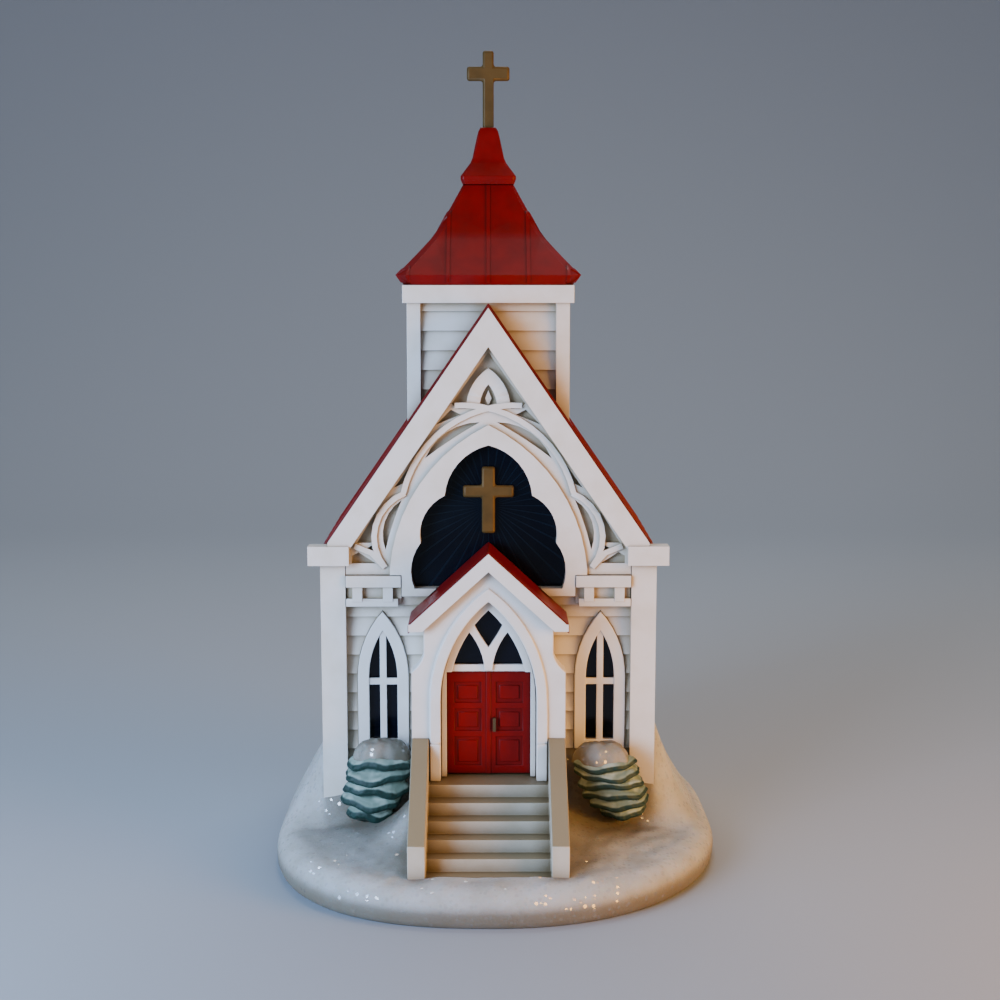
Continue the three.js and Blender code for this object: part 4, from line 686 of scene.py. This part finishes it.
def mesh_piece(
    name: str,
    points: np.ndarray,
    faces: Sequence[Sequence[int]] | np.ndarray,
    material: bpy.types.Material,
    values: dict[str, np.ndarray] | None = None,
) -> bpy.types.Object:
    """Puts computed points and faces into a new smooth-shaded object at the origin.

    Args:
        name: The object's name.
        points: Points in metres in the part frame.
        faces: Point numbers of each face.
        material: The finish.
        values: Numbers per point, kept as attributes under their names.

    Returns:
        The object.
    """
    mesh = bpy.data.meshes.new(name)
    mesh.from_pydata(points.reshape(-1, 3).tolist(), [], [list(map(int, f)) for f in faces])
    mesh.polygons.foreach_set("use_smooth", np.ones(len(mesh.polygons), bool))
    for key, numbers in (values or {}).items():
        attribute = mesh.attributes.new(key, "FLOAT", "POINT")
        attribute.data.foreach_set("value", numbers.reshape(-1).astype(np.float32))
    mesh.materials.append(material)
    mesh.update()
    piece = bpy.data.objects.new(name, mesh)
    bpy.context.scene.collection.objects.link(piece)
    return piece


def ripples(x: np.ndarray, y: np.ndarray, wave_mm: float, count: int, seed: int) -> np.ndarray:
    """Gentle lumps: the mean of count cosines, each with its own direction and phase.

    Args:
        x: Distances along X in mm.
        y: Distances along Y in mm.
        wave_mm: The middle wavelength.
        count: How many waves are added.
        seed: Fixes the waves' directions.

    Returns:
        Heights between -1 and 1.
    """
    rng = np.random.default_rng(seed)
    angle = rng.uniform(0, 2 * np.pi, count)
    phase = rng.uniform(0, 2 * np.pi, count)
    number = 2 * np.pi / (wave_mm * rng.uniform(0.7, 1.4, count))
    along = x[..., None] * np.cos(angle) + y[..., None] * np.sin(angle)
    return np.cos(along * number + phase).mean(-1)


def smooth_ramp(value: np.ndarray, start: float, end: float) -> np.ndarray:
    """Climbs from 0 at start to 1 at end, level at both."""
    share = np.clip((value - start) / (end - start), 0, 1)
    return share * share * (3 - 2 * share)


@dataclass
class SnowGround:
    """The snow mound: a rounded rim, a gentle rise to the walls and a drift on each side.

    Lengths are in mm. The squares are the powers of the outline's superellipse.
    """

    centre: tuple[float, float] = (1.0, 3.1)
    half: tuple[float, float] = (29.7, 30.3)
    square_left: float = 2.5
    square_right: float = 2.1
    square_back: float = 4.0
    rim: float = 4.4
    lip: float = 1.9
    round_reach: float = 4.0
    round_power: float = 2.2
    slope: float = 0.19
    slope_blend: float = 2.0
    drift_left: float = 9.5
    drift_right: float = 13.5
    drift_reach: float = 6.6
    drift_power: float = 1.5
    drift_front: tuple[float, float] = (-5.0, 4.0)
    drift_back: tuple[float, float] = (-7.0, 3.0)
    wall_x: float = 21.35
    wall_back: float = 27.05
    post_x: float = 22.3
    stair_x: float = 9.9
    stair_front: float = 21.9
    hollow: float = 2.6
    lump: float = 0.28
    lump_inset: float = 3.0
    bank_left: float = 3.0
    bank_right: float = 0.8
    bank_reach: float = 2.4
    bank_y: float = -8.5
    bank_half: float = 4.2
    spoke_mm: float = 0.55
    rings: int = 70

    def outline_radius(self, angle: np.ndarray) -> np.ndarray:
        """Radius of the rim: a superellipse whose power differs left, right and behind.

        Args:
            angle: Directions from the middle in radians.

        Returns:
            (|cos / half_x|^p + |sin / half_y|^p)^(-1/p) in mm for each direction.
        """
        c, s = np.cos(angle), np.sin(angle)
        front = np.where(c < 0, self.square_left, self.square_right)
        power = np.where(s > 0, self.square_back, front)
        total = np.abs(c / self.half[0]) ** power + np.abs(s / self.half[1]) ** power
        return total ** (-1 / power)

    def height(self, x: np.ndarray, y: np.ndarray) -> np.ndarray:
        """Height of the snow over each point.

        Args:
            x: Places along X, mm.
            y: Places along Y, mm.

        Returns:
            The rim's rounded rise, plus the slope, plus a drift that falls off with a power
            of the distance from the side wall, plus a bank beside the stairs and lumps.
        """
        dx, dy = x - self.centre[0], y - self.centre[1]
        inset = np.clip(self.outline_radius(np.arctan2(dy, dx)) - np.hypot(dx, dy), 0, None)
        short = 1 - np.clip(inset / self.round_reach, 0, 1)
        swell = (1 - short**self.round_power) ** 0.5
        rise = self.lip + (self.rim - self.lip) * swell
        high = np.where(x < 0, self.drift_left, self.drift_right)
        near = 1 - np.clip((np.abs(x) - self.post_x) / self.drift_reach, 0, 1)
        behind = smooth_ramp(y - self.wall_back, *self.drift_back)
        along = smooth_ramp(y, *self.drift_front) * (1 - behind)
        lumps = ripples(x, y, 9.0, 7, 3) + 0.35 * ripples(x, y, 2.6, 9, 8)
        fade = np.clip(inset / self.lump_inset, 0, 1)
        past = inset - self.round_reach
        slope = self.slope * (np.hypot(past, self.slope_blend) + past) / 2
        from_stairs = np.clip(np.abs(x) - self.stair_x, 0, None)
        beside = np.exp(-((from_stairs / self.bank_reach) ** 1.6))
        stretch = np.exp(-(((y - self.bank_y) / self.bank_half) ** 4))
        bank = np.where(x < 0, self.bank_left, self.bank_right) * beside * stretch
        drift = high * near**self.drift_power * along
        return rise + slope + bank + drift + self.lump * lumps * fade

    def foot_line(self) -> tuple[np.ndarray, np.ndarray]:
        """The line where snow meets walls and stairs, and the rim's angle for each point.

        Returns:
            Points in mm and angles in radians, spaced by spoke_mm along the line.
        """
        wx, sx = self.wall_x, self.stair_x
        corners = [
            (0, self.wall_back, 90), (-wx, self.wall_back, 133), (-wx, 0, 190), (-sx, 0, 224),
            (-sx, -self.stair_front, 249), (sx, -self.stair_front, 291), (sx, 0, 316),
            (wx, 0, 350), (wx, self.wall_back, 407), (0, self.wall_back, 450),
        ]
        line, angles = [], []
        for (x0, y0, a0), (x1, y1, a1) in zip(corners, corners[1:]):
            count = max(2, round(math.hypot(x1 - x0, y1 - y0) / self.spoke_mm))
            t = np.arange(count) / count
            line.append(np.stack((x0 + (x1 - x0) * t, y0 + (y1 - y0) * t), -1))
            angles.append(np.radians(a0 + (a1 - a0) * t))
        return np.concatenate(line), np.concatenate(angles)

    def build(self, paints: Paints) -> bpy.types.Object:
        """Builds the mound as one closed ring.

        Args:
            paints: Where finishes come from.

        Returns:
            The mound, in place of the snow_base node.
        """
        foot, angle = self.foot_line()
        spin = np.stack((np.cos(angle), np.sin(angle)), -1)
        radius = self.outline_radius(angle)[:, None]
        rim = np.array(self.centre) + spin * radius
        share = np.linspace(0, 1, self.rings)[None, :, None] ** 1.35
        across = rim[:, None, :] * (1 - share) + foot[:, None, :] * share
        top = self.height(across[..., 0], across[..., 1])
        skin = np.concatenate((across, top[..., None]), -1)
        low = [
            (np.array(self.centre) + spin * (radius - inset), z)
            for inset, z in (
                (self.hollow, self.hollow), (self.hollow, 0.0), (0.8, 0.0), (0.35, 0.35),
                (0.08, 1.0),
            )
        ]
        under = [(foot, self.hollow), *low]
        lower = np.stack([np.column_stack((p, np.full(len(p), z))) for p, z in under], 1)
        points = np.concatenate((lower, skin), 1)
        faces = grid_faces(points.shape[0], points.shape[1], True, True)
        piece = mesh_piece("snow_mound", place(points), faces, paints.of(FINISHES[Slot.SNOW]))
        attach(piece, Body.CHURCH.value)
        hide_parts("snow_base")
        report(piece)
        return piece


# One tier of twigs from its foot to its top, as shares of its height: how far it reaches
# out, and how much of it is covered with snow.
TIER_HEIGHTS = np.array((0.0, 0.08, 0.2, 0.32, 0.44, 0.56, 0.68, 0.8, 0.92))
TIER_REACH = np.array((0.8, 0.92, 0.985, 1.0, 0.985, 0.975, 0.955, 0.92, 0.86))
TIER_SNOW = np.array((0.2, 0.0, 0.0, 0.0, 0.0, 0.18, 0.6, 0.9, 0.8))
TIER_LIP = np.exp(-(((TIER_HEIGHTS - 0.3) / 0.25) ** 2))


@dataclass
class Shrub:
    """A shrub by the steps: drooping tiers of twigs, each loaded with snow, under a heap.

    It stands a little askew: its middle moves outwards by `lean` from top to foot. Lengths
    are in mm.
    """

    side: str
    x: float
    lean: float
    y: float
    half_x: float
    half_y: float
    foot: float
    top: float
    tiers: int
    snow_top: float
    tilt: float
    seed: int
    heap: float = 0.83
    tuck: float = 0.35
    twig_steps: int = 180
    cap_steps: int = 120
    # The caps' snow is a darker grey than the ground's, and its hollows take painted shade.
    grey_snow: GlitterSnow = GlitterSnow("grey_glitter_snow", "#9c9c95", "#838176", "#5f5743")

    def widths(self, share: np.ndarray) -> np.ndarray:
        """Half-width at a share of the height: a bowl that narrows to its foot.

        Args:
            share: Shares of the height, 0 at the foot.

        Returns:
            The root of 1 less a square law below the middle and a gentler one above it.
        """
        low = np.clip(1 - 1.9 * share, 0, None)
        high = np.clip(share - 0.5, 0, None)
        return np.sqrt(1 - 0.75 * low**2 - 0.3 * high**2)

    def middle(self, z: np.ndarray) -> np.ndarray:
        """Centre along X at each height."""
        return self.x + self.lean * np.minimum(1, (self.top - z) / (self.top - self.foot))

    def foliage(self, paints: Paints) -> bpy.types.Object:
        """Builds the twigs: one profile of tiers turned round an ellipse.

        Each tier comes out to a ragged lip that droops between fronds, and draws in again
        above it, where snow lies.

        Args:
            paints: Where finishes come from.

        Returns:
            The foliage, in place of the shrub node.
        """
        step = (self.top - self.foot) / self.tiers
        tier = np.repeat(np.arange(self.tiers), len(TIER_HEIGHTS))
        wide = self.widths((tier + 0.5) / self.tiers) * np.tile(TIER_REACH, self.tiers)
        rise = self.foot + (tier + np.tile(TIER_HEIGHTS, self.tiers)) * step
        snow = np.tile(TIER_SNOW, self.tiers)
        lip = np.tile(TIER_LIP, self.tiers)

        turn = np.linspace(0, 2 * np.pi, self.twig_steps, endpoint=False)[:, None]
        rng = np.random.default_rng(self.seed)
        phase = rng.uniform(0, 2 * np.pi, (5, self.tiers))[:, tier]
        swell = 0.03 * np.cos(3 * turn + phase[0]) + 0.02 * np.cos(7 * turn + phase[1])
        fronds = 0.014 * np.cos(15 * turn + phase[2]) + 0.004 * np.cos(37 * turn + phase[3])
        scale = wide * (0.95 + swell + fronds * lip)
        sway = 0.2 * step * np.cos(2 * turn + phase[4]) + 0.1 * step * np.cos(5 * turn + phase[1])
        droop = sway + 0.04 * step * lip * np.cos(15 * turn + phase[2])
        x = self.middle(rise) + self.half_x * scale * np.cos(turn)
        y = self.y + self.half_y * scale * np.sin(turn)
        askew = self.tilt * (x - self.middle(rise)) * (1 - np.arange(len(rise)) / len(rise))
        z = rise + droop + askew
        foot = np.array((self.x + self.lean, self.y, self.foot - 0.8))
        crown = np.array((self.x, self.y, self.top))
        closed, faces = capped_turn(np.stack((x, y, z), -1), foot, crown, climbs=True)
        values = {"snow": np.concatenate((np.broadcast_to(snow, z.shape).reshape(-1), (0.0, 1.0)))}
        finish = paints.of(FINISHES[Slot.GREEN])
        piece = mesh_piece(f"shrub_twigs_{self.side}", place(closed), faces, finish, values)
        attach(piece, Body.CHURCH.value)
        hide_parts(f"shrub_{self.side}")
        report(piece)
        return piece

    def snow_cap(self, paints: Paints) -> bpy.types.Object:
        """Builds the snow on top: a lumpy dome with a rounded, closed underside.

        Args:
            paints: Where finishes come from.

        Returns:
            The cap, in place of the shrub_snow node.
        """
        low = self.top - 0.5
        share = np.linspace(0, 1, 30)[None, :]
        turn = np.linspace(0, 2 * np.pi, self.cap_steps, endpoint=False)[:, None]
        out = self.heap * np.sin(share * np.pi / 2) ** 0.9
        dome = low + (self.snow_top - 0.5 - low) * (1 - (out / self.heap) ** 4) ** 0.65
        edge = 1 + 0.035 * np.cos(5 * turn + self.seed) + 0.02 * np.cos(11 * turn)
        x = self.x + self.half_x * out * edge * np.cos(turn)
        y = self.y + self.half_y * out * edge * np.sin(turn)
        lumps = 0.5 * ripples(x, y, 3.2, 8, self.seed) + 0.2 * ripples(x, y, 1.2, 8, self.seed)
        z = np.minimum(dome + lumps * (1.1 - out), self.snow_top)
        drawn_in = 1 - self.tuck / self.half_x
        brim_x = self.x + (x[:, -1] - self.x) * drawn_in
        brim_y = self.y + (y[:, -1] - self.y) * drawn_in
        brim = np.stack((brim_x, brim_y, z[:, -1] - self.tuck), -1)
        points = np.concatenate((np.stack((x, y, z), -1)[:, 1:], brim[:, None, :]), 1)
        peak = np.array((self.x, self.y, min(self.snow_top, z[:, 1].mean())))
        hub = np.array((self.x, self.y, low - 0.3))
        closed, faces = capped_turn(points, peak, hub, climbs=False)
        piece = mesh_piece(f"shrub_cap_{self.side}", place(closed), faces, paints.of(self.grey_snow))
        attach(piece, Body.CHURCH.value)
        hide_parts(f"shrub_snow_{self.side}")
        report(piece)
        return piece


@dataclass
class SoftMoulding:
    """A resin casting whose edges are rounded by its mould and its paint."""

    node: str
    slot: Slot
    finish: BrushedPaint
    edge_mm: float = 0.16
    join_mm: float = 0.002
    flat_deg: float = 0.6
    crease_deg: float = 28.0

    def build(self, paints: Paints) -> bpy.types.Object:
        """Copies the CAD node, joins its loose faces and rounds its edges.

        Args:
            paints: Where finishes come from.

        Returns:
            The rounded piece, in place of the node.
        """
        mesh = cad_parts[self.node].data.copy()
        mesh.name = f"{self.node}_cast"
        work = bmesh.new()
        work.from_mesh(mesh)
        bmesh.ops.remove_doubles(work, verts=work.verts, dist=self.join_mm * MM)
        bmesh.ops.dissolve_limit(
            work, angle_limit=math.radians(self.flat_deg), verts=work.verts, edges=work.edges
        )
        bmesh.ops.triangulate(work, faces=[face for face in work.faces if len(face.verts) > 4])
        for face in work.faces:
            face.smooth = True
        work.to_mesh(mesh)
        work.free()
        mesh.set_sharp_from_angle(angle=math.radians(self.crease_deg))
        mesh.materials.clear()
        mesh.materials.append(paints.of(self.finish))
        piece = bpy.data.objects.new(mesh.name, mesh)
        bpy.context.scene.collection.objects.link(piece)
        edges = piece.modifiers.new("rounded_edges", "BEVEL")
        edges.width = self.edge_mm * MM
        edges.segments = 2
        edges.limit_method = "ANGLE"
        edges.angle_limit = math.radians(self.crease_deg)
        shading = piece.modifiers.new("flat_faces_stay_flat", "WEIGHTED_NORMAL")
        shading.mode = "FACE_AREA"
        shading.weight = 90
        shading.keep_sharp = True
        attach(piece, Body.CHURCH.value)
        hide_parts(self.node)
        report(piece)
        return piece


@dataclass
class Mouldings:
    """Every casting whose edges show."""

    white: tuple[str, ...] = (
        "porch_walls", "porch_gable_trim", "door_frame", "lancet_frame_left",
        "lancet_frame_right", "rear_frame", "side_frame_left_1", "side_frame_left_2",
        "side_frame_right_1", "side_frame_right_2",
    )
    carved: tuple[str, ...] = (
        "front_wall", "gable_front", "string_course_left", "string_course_right", "rear_shell",
        "tower_walls",
    )
    stair_castings: tuple[str, ...] = ("entrance_stairs",)
    red: tuple[str, ...] = ("porch_roof", "main_roof", "spire_roof", "spire_cap")
    doors: tuple[str, ...] = ("entrance_doors",)
    gold: tuple[str, ...] = ("window_cross", "spire_cross")
    gold_edge_mm: float = 0.3
    # The carved pieces take more dark colour in their recesses, reaching further: pooled paint and
    # painted shade.
    washed_and_shaded: BrushedPaint = BrushedPaint(
        "washed_and_shaded_white_enamel", "#e9e6e0", "#e0dcd1", "#8f7f58", 0.46, wash_and_shade_share=0.85,
        wash_and_shade_reach_mm=2.3,
    )
    # The steps are painted tan, darker in corners and on faces that look up: partly an antique
    # finish, partly painted shade.
    antiqued_and_shaded: BrushedPaint = BrushedPaint(
        "antiqued_and_shaded_white_enamel", "#cbc4b3", "#bcb39c", "#5f5134", 0.5, wash_and_shade_share=0.95,
        wash_and_shade_reach_mm=2.6, top_shade="#8f8264",
    )
    # The doors' grooves take a darker red: pooled paint and painted shade.
    satin: BrushedPaint = BrushedPaint(
        "deep_red_satin_enamel", "#780202", "#680202", "#260101", 0.46, wash_and_shade_share=0.7,
        wash_and_shade_reach_mm=0.8, sheen=0.18,
    )

    def build(self, paints: Paints) -> list[bpy.types.Object]:
        """Rounds and paints each casting.

        Args:
            paints: Where finishes come from.

        Returns:
            The finished pieces.
        """
        plain = SoftMoulding.edge_mm
        groups = (
            (self.white, Slot.WHITE, FINISHES[Slot.WHITE], plain),
            (self.carved, Slot.WHITE, self.washed_and_shaded, plain),
            (self.stair_castings, Slot.WHITE, self.antiqued_and_shaded, plain),
            (self.red, Slot.RED, FINISHES[Slot.RED], plain),
            (self.doors, Slot.RED, self.satin, plain),
            (self.gold, Slot.GOLD, FINISHES[Slot.GOLD], self.gold_edge_mm),
        )
        return [
            SoftMoulding(node, slot, finish, edge).build(paints)
            for nodes, slot, finish, edge in groups
            for node in nodes
        ]


@dataclass
class CarriedNodes:
    """CAD nodes whose shape is right as it is and only need their finish."""

    shown: dict[Slot, tuple[str, ...]] = field(
        default_factory=lambda: {
            Slot.PLASTIC: ("bottom_plate", "battery_door", "push_button", "resistor"),
            Slot.SCREW: (
                "plate_screw_1", "plate_screw_2", "plate_screw_3", "battery_door_screw",
                "board_screw_left", "board_screw_right",
            ),
            Slot.CELL: ("cell_1", "cell_2", "cell_3"),
            Slot.CONTACT: ("positive_contact", "negative_contact"),
            Slot.BOARD: ("circuit_board",),
            Slot.BLACK: ("chip_cap", "light_switch", "switch_stem"),
            Slot.LAMP: ("led_lamp",),
            Slot.BRASS: ("hanger_loop",),
            Slot.PANE: (
                "fanlight_pane", "lancet_pane_left", "lancet_pane_right", "rear_pane",
                "side_pane_left_1", "side_pane_left_2", "side_pane_right_1", "side_pane_right_2",
            ),
        }
    )
    rayed: RayedPane = RayedPane(
        "navy_rayed_sheet", "#04060f", "#101e2a", hub=(0.0, 47.7), sheen=0.2
    )
    tarnished: PlatedMetal = PlatedMetal("tarnished_brass", "#6d5c44", 0.5)

    def dress(self, node: str, material: bpy.types.Material) -> None:
        """Puts a finish on one node.

        Args:
            node: The CAD node's name.
            material: Its finish.
        """
        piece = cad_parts[node]
        if not piece.material_slots:
            piece.data.materials.append(material)
        piece.material_slots[0].link = "OBJECT"
        piece.material_slots[0].material = material
        report(piece)

    def build(self, paints: Paints) -> None:
        """Dresses every carried node.

        Args:
            paints: Where finishes come from.
        """
        for slot, nodes in self.shown.items():
            for node in nodes:
                self.dress(node, paints.of(FINISHES[slot]))
        self.dress("gable_window_pane", paints.of(self.rayed))
        self.dress("door_handle", paints.of(self.tarnished))


@dataclass(frozen=True)
class SoftBox:
    """A square soft light: its place and side in mm, its watts and its sRGB colour."""

    name: str
    at: tuple[float, float, float]
    side: float
    watts: float
    colour: str

    def build(self, target: Vector) -> None:
        """Adds the light.

        Args:
            target: The point in metres that it is aimed at.
        """
        data = bpy.data.lights.new(self.name, "AREA")
        data.energy = self.watts
        data.size = self.side * MM
        data.color = linear(self.colour)[:3]
        light = bpy.data.objects.new(self.name, data)
        light.location = Vector(self.at) * MM
        light.rotation_mode = "QUATERNION"
        light.rotation_quaternion = (target - light.location).to_track_quat("-Z", "Y")
        bpy.context.scene.collection.objects.link(light)


@dataclass
class Studio:
    """Pale floor and backdrop, soft lights and the photograph's camera."""

    eye: tuple[float, float, float] = (0.35, -210.0, 78.909)
    pitch_deg: float = 8.25
    yaw_pixels: float = 9.0
    floor: str = "#a6b0bb"
    floor_mm: float = 2200.0
    wall_mm: float = 260.0
    bend_mm: float = 380.0
    boxes: tuple[SoftBox, ...] = (
        SoftBox("soft_key", (-330, -400, 150), 220, 2.7, "#c8dcff"),
        SoftBox("soft_fill", (390, -190, 80), 240, 1.7, "#ffc468"),
        SoftBox("cool_card", (-130, -90, 50), 80, 0.2, "#a4ccff"),
        SoftBox("warm_card", (130, -80, 45), 80, 0.13, "#ffa22c"),
        SoftBox("soft_top", (20, 160, 430), 260, 0.8, "#ffffff"),
    )
    boxes_aim_mm: tuple[float, float, float] = (0.0, 0.0, 45.0)
    sky_colour: str = "#cfd9e6"
    sky_strength: float = 0.22

    def sweep(self) -> None:
        """Makes the floor and wall as one sheet: a straight run, a quarter turn, a rise."""
        bend = np.linspace(0, np.pi / 2, 24)
        top = self.wall_mm + self.bend_mm
        curve = self.wall_mm + self.bend_mm * np.sin(bend)
        run = np.concatenate(((-self.floor_mm,), curve, (top,)))
        climb = self.bend_mm * (1 - np.cos(bend))
        rise = np.concatenate(((0.0,), climb, (self.floor_mm,)))
        half = np.array((-1.0, 1.0))[:, None] * self.floor_mm * 1.6
        points = np.stack([np.broadcast_to(part, (2, len(run))) for part in (half, run, rise)], -1)
        paper = NodeSketch("matte_paper").finish({"Base Color": self.floor, "Roughness": 0.85})
        faces = grid_faces(2, len(run), False, False)[:, ::-1]
        sheet = mesh_piece("studio_paper", points * MM, faces, paper)

    def camera(self) -> None:
        """Sets the camera at the photograph's place, pitch and lens."""
        data = bpy.data.cameras.new("photo_camera")
        data.sensor_width = SENSOR_MM
        data.lens = LENS_PIXELS * SENSOR_MM / PHOTO_PIXELS
        data.clip_start, data.clip_end = 0.01, 10.0
        eye = bpy.data.objects.new("photo_camera", data)
        pitch, yaw = math.radians(self.pitch_deg), math.atan(self.yaw_pixels / LENS_PIXELS)
        level = math.cos(pitch)
        aim = Vector((math.sin(yaw) * level, math.cos(yaw) * level, -math.sin(pitch)))
        turn = aim.to_track_quat("-Z", "Y").to_matrix().to_4x4()
        eye.matrix_world = Matrix.Translation(Vector(place(np.array(self.eye)))) @ turn
        bpy.context.scene.collection.objects.link(eye)
        bpy.context.scene.camera = eye

    def build(self) -> None:
        """Builds the whole studio."""
        self.camera()
        self.sweep()
        target = Vector(self.boxes_aim_mm) * MM
        for box in self.boxes:
            box.build(target)
        world = bpy.data.worlds.new("pale_room")
        world.use_nodes = True
        sky = world.node_tree.nodes["Background"]
        sky.inputs["Color"].default_value = linear(self.sky_colour)
        sky.inputs["Strength"].default_value = self.sky_strength
        bpy.context.scene.world = world


SHRUBS = (
    Shrub(
        side="left", x=-14.1, lean=-1.9, y=-5.1, half_x=4.6, half_y=3.1, foot=6.5, top=15.2,
        tiers=5, snow_top=17.7, tilt=-0.03, seed=4,
    ),
    Shrub(
        side="right", x=14.9, lean=3.1, y=-5.2, half_x=4.6, half_y=3.1, foot=6.9, top=14.8,
        tiers=6, snow_top=17.3, tilt=0.16, seed=9,
    ),
)


def main() -> None:
    """Builds and dresses the ornament."""
    logging.basicConfig(level=logging.INFO, format="%(name)s %(message)s")
    for name in ("Cube", "Light", "Camera"):
        stray = bpy.data.objects.get(name)
        if stray is not None:
            bpy.data.objects.remove(stray)
    paints = Paints()
    Studio().build()
    SnowGround().build(paints)
    for shrub in SHRUBS:
        shrub.foliage(paints)
        shrub.snow_cap(paints)
    Mouldings().build(paints)
    CarriedNodes().build(paints)


if __name__ == "__main__":
    main()
